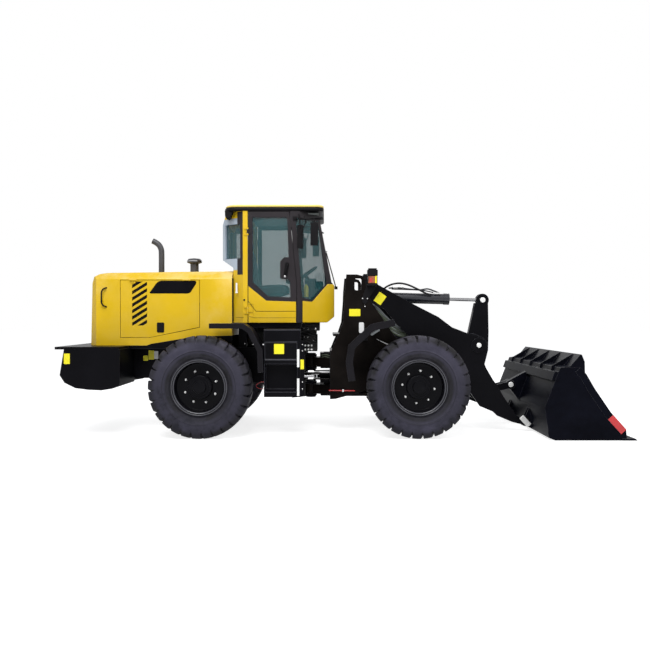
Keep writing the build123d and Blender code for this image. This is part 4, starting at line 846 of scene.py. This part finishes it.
hoodDoorTrim = {
    # a long dark plate, a sheet behind the louvres and a latch
    "hood_badge": (prism([
        (-2362, 1716), (-2358, 1708), (-2345, 1704), (-1905, 1704), (-1882, 1708), (-1862, 1720),
        (-1800, 1815), (-1792, 1835), (-1794, 1850), (-1806, 1860), (-2222, 1860), (-2250, 1852),
        (-2275, 1835)], -563, -559.5), "black", 1.0),
    "hood_baffle": (brick(-2600, -2390, -545, -541, 1240, 1850), "plastic"),
    "hood_latch": (joined([roundPlate((-2274, -2185, 1228, 1351), 14, -566, -559),
                           roundPlate((-2262, -2197, 1262, 1338), 10, -570, -565, 4)]), "plastic", 2.0),
}
hoodTrim = {"rear_chassis": {
    "hood_grips": (bothSides(tube([
        (-2885, -548, 1775), (-2896, -572, 1771), (-2925, -588, 1752), (-2941, -590, 1715),
        (-2942, -590, 1655), (-2941, -590, 1600), (-2927, -588, 1562), (-2898, -572, 1545),
        (-2887, -548, 1541)], 9)), "plastic"),
    "hood_seal": (brick(-1362, -1343, -556, 556, 1360, 1890), "plastic"),
    "precleaner_bands": (joined([
        turned([(0, 50), (0, 63), (14, 63), (14, 50)], (-1917, 0, 1960), upward, 40),
        turned([(0, 94), (0, 97.5), (8, 97.5), (8, 94)], (-1917, 0, 2138), upward, 48)]), "steel"),
}}
exhaust = {
    "route": [(-2345, 0, 1870), (-2345, 0, 2060), (-2345, 0, 2235), (-2351, 0, 2300), (-2378, 0, 2352),
              (-2420, 0, 2386), (-2458, 0, 2404)],
    "steps": 10,
    "radius": 37,
    "sides": 40,
    "mouth": [(0.3, 0.01), (0.3, 33)],
    "collar": [(0, 0.01), (0, 62), (4, 64), (10, 62), (16, 46), (30, 42), (34, 37)],
    "collarPlace": (-2345, 0, 1893),
}


def buildExhaust(values):
    # A pipe that bends to the rear, its dark mouth and the collar at its foot.
    route, count = smoothRoute(values["route"], values["steps"]), values["sides"]
    place("exhaust_form", tube(route, values["radius"], count, smooth=False), "exhaust", "rear_chassis",
          replaces=("exhaust_pipe",), smoothAngle=50)
    placeAll({"rear_chassis": {
        "exhaust_mouth": (turned(values["mouth"], route[-1], route[-1] - route[-3], count), "plastic"),
        "exhaust_collar": (turned(values["collar"], values["collarPlace"], upward, count), "exhaust"),
    }})


placeOnDoors(hoodDoorTrim, "hood_door")
placeAll(hoodTrim)
buildExhaust(exhaust)
print("hood trim ready")

leverKnob = [(0, 0.01), (6, 16), (22, 20), (38, 16), (44, 0.01)]
cabDoorTrim = {
    "door_crease": (line([
        (-1148, 1609), (-1056, 1487), (-578, 1487)], 5.0, doorFace - 3, doorFace), "plastic"),
    "door_crease_low": (line([
        (-1148, 1425), (-1075, 1408), (-578, 1408)], 3.0, doorFace - 2.2, doorFace), "pillar"),
    "door_lever": (joined([
        prism(tilted(roundedOutline(-24, 24, -92, 92, 16), (-690, 1985), -8), -646, cabFace),
        tube([
            (-672, -642, 2062), (-672, -668, 2050), (-690, -672, 1995), (-704, -668, 1945),
            (-708, -642, 1935)], 8)]), "plastic", 2.0),
    "door_lock": (turned([
        (0, 0.01), (0, 13), (5, 12), (6, 9), (6, 0.01)], (-706, doorFace, 1908), outward, 24), "steel"),
    "door_hinge_caps": (joined(
        [bar((-1156, -652, z - 34), (-1156, -652, z + 34), 9, 20) for z in (1500, 2450)]), "steel"),
}
cabTrim = {"rear_chassis": {
    "cab_plugs": (bothSides(turned([(0, 0.01), (0, 12), (6, 11), (9, 7), (9.5, 0.01)], (-1199, cabFace, 1623),
                                   outward, 24)), "plastic"),
    "cab_seams": (bothSides(line([(-1300, 1412), (-1206, 1412)], 4.0, cabFace - 2.2, cabFace)), "plastic"),
    "wiper": (joined([
        bar((-82, -60, 1800), (-206, -170, 2240), 7), bar((-198, -60, 2262), (-214, -330, 2236), 6),
        brick(-100, -60, -82, -38, 1775, 1812)]), "plastic"),
    "cab_bottle": (turned([(0, 0.01), (0, 30), (120, 30), (138, 20), (146, 12), (160, 12), (160, 0.01)],
                          (-455, -430, 1665), upward, 28), "plate"),
    "mirror_arms": (bothSides(joined([
        roundPlate((-556, -482, 2238, 2524), 16, -690, -664),
        tube([(-520, -652, 2600), (-524, -690, 2590), (-520, -694, 2520), (-518, -688, 2480)], 7),
        tube([(-540, -650, 2655), (-500, -690, 2600), (-360, -700, 2594), (-238, -698, 2592)], 8),
        tube([(-470, -650, 2640), (-455, -680, 2560), (-500, -690, 2450), (-515, -688, 2400)], 6),
    ])), "plastic", 3.0),
    "cab_levers": (joined([
        bar((-560, -300, 1640), (-520, -300, 1880), 7), bar((-620, -330, 1640), (-590, -330, 1860), 7),
        turned(leverKnob, (-523, -300, 1868), (1, 0, 4), 20),
        turned(leverKnob, (-593, -330, 1850), (1, 0, 4), 20),
        roundPlate((-780, -480, 1560, 1660), 20, -380, -270, 4)]), "plastic", 3.0),
    "cab_dash_cowl": (joined([
        brick(-475, -330, -396, 396, 1655, 1895), brick(-335, -245, -300, 300, 1655, 1868)
    ]), "plastic", 14.0),
    "cab_ceiling": (brick(-1250, -300, -560, 560, 2668, 2684), "lining"),
    "cab_corner_latches": (bothSides(joined([roundPlate((-1304, -1284, 1722, 1830), 6, -622, -606, 4),
                                             roundPlate((-1308, -1280, 1706, 1726), 6, -622, -600, 4)])),
                           "plateWhite", 1.5),
}}
roof = {
    # height, and how far the ring is drawn in
    "crown": [(2745, 26), (2744, 12), (2748, 3), (2755, 0), (2762, 2), (2769, 9), (2773.5, 24), (2775.5, 60),
              (2776, 160)],
    "rim": [(2700, 60), (2698, 22), (2702, 8), (2712, 1), (2724, 0), (2738, 4), (2746, 16)],
    # rear X, front X, half width, then the corners' radii at the rear and at the front
    "crownPlan": (-1440, -236, 653, 170, 90),
    "rimPlan": (-1452, -236, 655, 175, 92),
    "cornerSteps": 12,
    "leastCorner": 4,
    "drop": [(-1440, 2712), (-1436, 2640), (-1420, 2612), (-1396, 2606), (-1372, 2622), (-1350, 2668),
             (-1330, 2712)],
    "dropFaces": (-600, -470),
    "dropBevel": 8.0,
}


def dish(profile, plan, values):
    # A form stacked from plan rings, each drawn in by its profile's second number and closed by a ring a
    # thousandth as wide at either end.
    rear, front, half, rearRadius, frontRadius = plan
    least, layers = values["leastCorner"], []
    for height, inward in profile:
        ring = roundedOutline(rear + inward, front - inward, inward - half, half - inward,
                              max(least, rearRadius - inward), values["cornerSteps"],
                              max(least, frontRadius - inward))
        layers.append(np.column_stack([ring, np.full(len(ring), float(height))]))
    low, high = [layer * 0.001 + layer.mean(axis=0) * 0.999 for layer in (layers[0], layers[-1])]
    layers = [low, *layers, high]
    return np.vstack(layers), gridFaces(len(layers), len(low))


def buildRoof(values):
    # A crowned roof with a soft edge over a dark rim that turns down at the back.
    place("cab_roof_form", dish(values["crown"], values["crownPlan"], values), "roof", "rear_chassis",
          replaces=("cab_roof",), smoothAngle=60)
    place("roof_rim_form", dish(values["rim"], values["rimPlan"], values), "plastic", "rear_chassis",
          replaces=("roof_trim",), smoothAngle=60)
    drops = bothSides(prism(values["drop"], *values["dropFaces"]))
    place("roof_rim_drops", drops, "plastic", "rear_chassis", bevel=values["dropBevel"])


seat = {
    "pedestal": [(-1150, 1387), (-880, 1387), (-880, 1540), (-800, 1600), (-800, 1690), (-1200, 1690),
                 (-1200, 1590), (-1150, 1540)],
    "pedestalHalf": 200,
    "rows": 64,
    "columns": 72,
    "squareness": 0.42,
    "crown": 14.0,
    "pull": 0.035,
    "channelDepth": 9.0,
    "channelWidth": 7.0,
    # name: centre, half sizes, which way its length runs, sewn channels along it, filling
    "parts": {
        "seat_cushion": ((-940, 0, 1752), (255, 245, 66), (1, 0, 0.06), (-110, 20), 0.7),
        "seat_back": ((-1165, 0, 1990), (300, 235, 62), (-0.16, 0, 1), (-150, 0, 140), 0.7),
        "seat_headrest": ((-1205, 0, 2345), (62, 130, 42), (-0.16, 0, 1), (), 0.8),
    },
}


def cushionShape(centre, size, lengthwise, channels, values):
    # A stuffed form: a superellipsoid, whose sines and cosines are raised to a power below 1 to square it.
    # Its face is crowned by (1 - along^2)(1 - wide^2), its sides pull in by a cosine along it, and each
    # sewn channel sinks by a bell curve. Size is half its length, half its width and half its thickness.
    rows, columns = values["rows"], values["columns"]
    v = np.linspace(-pi / 2, pi / 2, rows)[:, None]
    u = np.linspace(-pi, pi, columns, endpoint=False)[None]

    def squared(value):
        return np.sign(value) * np.abs(value) ** values["squareness"]

    along = squared(np.cos(v)) * squared(np.cos(u)) * size[0]
    wide = squared(np.sin(v)) * np.ones_like(u) * size[1]
    thick = squared(np.cos(v)) * squared(np.sin(u)) * size[2]
    face = np.clip(thick / size[2], -1, 1)
    wide = wide * (1 - values["pull"] * np.cos(pi * np.clip(along / size[0], -1, 1)))
    thick = thick + face * values["crown"] * (1 - (along / size[0]) ** 2) * (1 - (wide / size[1]) ** 2)
    for channel in channels:
        away = (along - channel) / values["channelWidth"]
        thick = thick - face * values["channelDepth"] * np.exp(-away ** 2)
    ahead, across = unit(lengthwise), np.array((0.0, 1.0, 0.0))
    points = (np.asarray(centre, float) + along[..., None] * ahead + wide[..., None] * across
              + thick[..., None] * np.cross(ahead, across))
    return points.reshape(-1, 3), gridFaces(rows, columns)


def buildSeat(values):
    # A moulded pedestal under a padded cushion, back and head rest.
    pedestal = prism(values["pedestal"], -values["pedestalHalf"], values["pedestalHalf"])
    place("seat_pedestal", pedestal, "plastic", "rear_chassis", bevel=6.0, slot="cab_plastic",
          replaces=("seat",))
    for name, (centre, size, lengthwise, channels, fill) in values["parts"].items():
        piece = place(name, cushionShape(centre, size, lengthwise, channels, values), "cloth", "rear_chassis",
                      smoothAngle=70)


placeOnDoors(cabDoorTrim, "cab_door")
placeAll(cabTrim)
buildRoof(roof)
buildSeat(seat)
print("cab trim ready")

stepTrim = {"rear_chassis": {
    "step_strips": (bothSides(joined([
        roundPlate((-549, -522, 830, 1039), 3, stripFace - 3, stripFace, 3),
        roundPlate((-549, -522, 494, 698), 3, stripFace - 3, stripFace, 3)])), "zinc"),
    "step_tabs": (bothSides(prism([
        (-520, 486), (-470, 492), (-464, 520), (-464, 1105), (-470, 1130), (-520, 1136)
    ], stepFace, stepFace + 10)), "black", 2.0),
    "step_bolts": (bothSides(boltRow(
        [(-486, z) for z in (1094, 1020, 656, 575)], stepFace, 9.0, 6.0)), "zinc"),
    "step_hoop": (tube([(-952, -640, 633), (-1000, -640, 628), (-1040, -640, 606), (-1056, -640, 585),
                        (-1040, -640, 562), (-1000, -640, 548), (-952, -640, 546)], 3.5), "redPaint"),
    "rail_bolts": (bothSides(boltRow([(-1222, 1085)], -365, 11.0, 7.0)), "zinc"),
    "tail_lamp_rings": (bothSides(turned(
        [(0, 40), (3, 44), (6, 44), (8, 40)], (-3286, -478, 905), (-1, 0, 0), 40)), "plastic"),
}}
towerTrim = {"front_chassis": {
    "tower_bolts": (bothSides(boltRow([(240, 1645), (300, 1645), (270, 1548)], -479, 10.0, 7.0)), "zinc"),
    "lamp_turn_lenses": (bothSides(joined([brick(304, 408, -617, -613.5, 1830, 1912),
                                           brick(411.5, 415, -606, -514, 1830, 1912)])), "amber", 1.2),
    "lamp_strips": (bothSides(brick(386, 404, -619, -616.5, 1828, 1914)), "plate"),
    "lamp_red_parts": (bothSides(brick(318, 352, -619.5, -616.5, 1838, 1890)), "red", 1.2),
    "lamp_glasses": (bothSides(turned([(0, 0.01), (0, 38), (3, 36), (8, 24), (10, 0.01)], (405, -560, 1955),
                                      (1, 0, 0), 32)), "lampGlass"),
    "fender_brackets": (bothSides(prism([(332, 1201), (352, 1190), (444, 1250), (444, 1275), (430, 1272),
                                         (345, 1222)], -600, -470)), "pipe", 2.0),
    "fender_braces": (bothSides(bar((406, -640, 1150), (581, -700, 1065), 6)), "steel"),
    "lock_bar": (joined([
        bar((-173, -485, 512), (147, -485, 508), 7), bar((-150, -485, 511), (-150, -470, 511), 8),
        bar((125, -485, 509), (125, -470, 509), 8)]), "redPaint"),
    "lock_bar_clips": (brick(-8, 8, -500, -470, 495, 526), "zinc"),
    "boom_root_ends": (bothSides(turned([
        (0, 0.01), (0, 44), (6, 44), (9, 38), (9, 0.01)], (282, towerFace, 1680), outward, 40)), "tower"),
}}


def pinEnds(spot, y, radius):
    # A bright pin's two ends at an (X, Z) place, each with its centre mark.
    x, z = spot
    return bothSides(joined([
        turned([(0, 0.01), (0, radius), (6, radius), (9, radius - 4), (9, 0.01)], (x, -y, z), outward, 40),
        turned([(8, radius * 0.45), (11, radius * 0.45), (11, 0.01)], (x, -y, z), outward, 24)]))


linkageTrim = {
    "boom": {
        "crank_pivot_ends": (pinEnds((1680, 1068), 462, 30), "zinc"),
        "boom_tip_spacers": (bothSides(turned([
            (0, 0.01), (0, 56), (6, 56), (6, 0.01)], (2254, -468, 130), outward, 40)), "black"),
        "boom_tip_keepers": (bothSides(joined([
            prism(tilted(roundedOutline(-74, 74, -32, 32, 8, 4), (2250, 132), -48), -484, -474),
            boltRow([(2210, 176), (2290, 88)], -484, 9, 6)])), "zinc", 1.5),
    },
    "bell_crank": {"crank_top_ends": (pinEnds((1816, 1638), 55, 34), "zinc")},
    "bucket_link": {"bucket_eye_ends": (pinEnds((2176, 547), 81, 34), "zinc")},
    "tilt_barrel": {
        "tilt_hose": (tube([
            (470, -75, 1700), (500, -92, 1745), (560, -98, 1800), (640, -96, 1838), (740, -92, 1852),
            (850, -90, 1830), (980, -88, 1772), (1080, -84, 1722), (1150, -78, 1705)], 12, 14), "hose"),
        "tilt_pipe": (joined([
            tube([(600, -60, 1790), (700, -72, 1796), (878, -76, 1776), (1000, -74, 1768), (1100, -72, 1780),
                  (1190, -64, 1752), (1250, -52, 1728)], 10),
            tube([(640, -40, 1780), (800, -46, 1775), (1040, -44, 1762), (1180, -40, 1735)], 8)]), "barrel"),
        "tilt_fittings": (joined([
            fitting((655, -84, 1800), (1, 0, 0.05), 17, 62), fitting((745, -84, 1804), (1, 0, 0), 15, 46),
            brick(1190, 1270, -78, -50, 1716, 1732), boltRow([(1206, 1724), (1250, 1724)], -78, 7, 7),
        ]), "zinc"),
    },
    "bucket": {
        "bucket_guard_ends": (bothSides(prism([
            (2560, 812), (2700, 988), (2716, 986), (2748, 905), (2752, 780), (2700, 770), (2600, 780)
        ], -1112, -1102)), "bucket", 2.0),
    },
}
armHoses = {
    # finish, how many, how far each lies below the one above it, radius, and then places: X, Y and Z of the
    # highest, the share of that drop that it takes, and how far the hoses wave there
    "boom_hoses": ("pipe", 5, 27, 11, [
        (330, -350, 1600, 1, 0), (446, -350, 1520, 1, 10), (540, -348, 1420, 1, 0),
        (640, -352, 1330, 1, 10), (760, -350, 1245, 0.6, 0), (850, -350, 1205, 0, 0)]),
    "boom_hose_sleeves": ("hoseGreen", 3, 40, 16, [(420, -352, 1500, 1, 0), (500, -356, 1420, 1, 0),
        (600, -352, 1325, 1, 0), (720, -350, 1235, 0.7, 0), (820, -350, 1190, 0, 0)]),
}


def buildArmHoses(values):
    # Hoses inside the arm that fan in to one height, with a wave of so much times the sine of 1.7 a hose.
    for name, (material, count, step, radius, spots) in values.items():
        hoses = [tube([(x, y, z - share * step * index + wave * sin(1.7 * index))
                       for x, y, z, share, wave in spots], radius) for index in range(count)]
        place(name, joined(hoses), material, "boom", slot="cab_plastic")


joint = {
    # X, Y and Z from and to: valves and panels of the rear frame, those with a left-hand twin, and the
    # front's webs
    "rear": [(-505, -318, -285, -190, 985, 1085), (-500, -350, -270, -180, 1090, 1190),
             (-505, -320, 180, 285, 985, 1190), (-508, -290, -335, -235, 1245, 1300),
             (-480, -300, -330, -250, 1300, 1344), (-508, -290, 235, 335, 1245, 1344),
             (-508, -330, -230, 230, 1195, 1238), (-1150, -1060, -262, -212, 1225, 1300),
             (-900, -820, -250, -212, 1250, 1320)],
    "rearPairs": [(-508, -470, -185, -115, 420, 612), (-508, -470, -185, -115, 720, 980),
                  (-1195, -640, -212, -200, 1075, 1342)],
    "front": [(-286, -112, -150, 150, 905, 962), (-280, -112, -160, 160, 762, 790),
              (-286, -112, -150, 150, 575, 632), (-280, -112, -160, 160, 412, 440),
              (-240, -112, -140, 140, 762, 962), (-240, -112, -140, 140, 412, 632)],
    "bevel": 5.0,
    # how many, radius, and then places: X, Y, Z of the first, and how much Y and Z grow with each hose
    "rearHoses": [
        (5, 9, [(-620, -305, 1252, -6, -34), (-520, -305, 1258, -6, -34), (-440, -309, 1244, -6, -34),
                (-370, -305, 1214, -6, -34), (-330, -275, 1202, -6, -34)]),
        (5, 8, [(-700, -360, 1330, 0, -22), (-560, -372, 1322, 0, -22), (-430, -366, 1334, 0, -20),
                (-310, -340, 1322, 0, -16)]),
        (4, 8, [(-1190, -226, 1316, 0, -24), (-1080, -272, 1322, -4, -24), (-960, -236, 1312, 0, -24),
                (-800, -262, 1326, 0, -24), (-660, -226, 1318, 0, -24)]),
    ],
    "frontHoses": [
        (4, 8, [(-100, -168, 930, 0, -26), (-160, -176, 924, 0, -26), (-220, -172, 938, 0, -26),
                (-268, -150, 926, 0, -26)]),
    ],
    "lowFittings": ((-470, -430, -390), -290, (1010, 1060), 9, 22),
    "highFittings": ((-480, -430, -340), -338, (1272,), 8, 18),
    "bolts": [(-486, 1160), (-440, 1160), (-395, 1160), (-370, 1120)],
    "boltFace": -272,
}


def hoseBundle(rows):
    # Rows of like hoses, each a little further on than the one before.
    return joined([tube([(x, y + yStep * index, z + zStep * index) for x, y, z, yStep, zStep in spots],
                        radius, 10) for count, radius, spots in rows for index in range(count)])


def fittingGrid(across, y, heights, radius, length):
    # Fittings at every X and Z, on a right-hand face.
    return joined([fitting((x, y, z), outward, radius, length) for x in across for z in heights])


def buildJoint(values):
    # Valves, panels, hoses and webs where the two frames meet and below the cab, each on one body.
    rearBits = [brick(*box) for box in values["rear"]]
    rearBits += [bothSides(brick(*box)) for box in values["rearPairs"]]
    fittings = joined([fittingGrid(*values["lowFittings"]), fittingGrid(*values["highFittings"]),
                       boltRow(values["bolts"], values["boltFace"], 8.0, 7.0)])
    placeAll({
        "rear_chassis": {
            "joint_valves_rear": (joined(rearBits), "iron", values["bevel"]),
            "joint_hoses_rear": (hoseBundle(values["rearHoses"]), "hose"),
            "joint_fittings_rear": (fittings, "zinc"),
        },
        "front_chassis": {
            "joint_webs_front": (joined([brick(*box) for box in values["front"]]), "black", values["bevel"]),
            "joint_hoses_front": (hoseBundle(values["frontHoses"]), "hoseGreen"),
        },
    })


placeAll(stepTrim)
placeAll(towerTrim)
placeAll(linkageTrim)
buildArmHoses(armHoses)
buildJoint(joint)
print("trim ready")
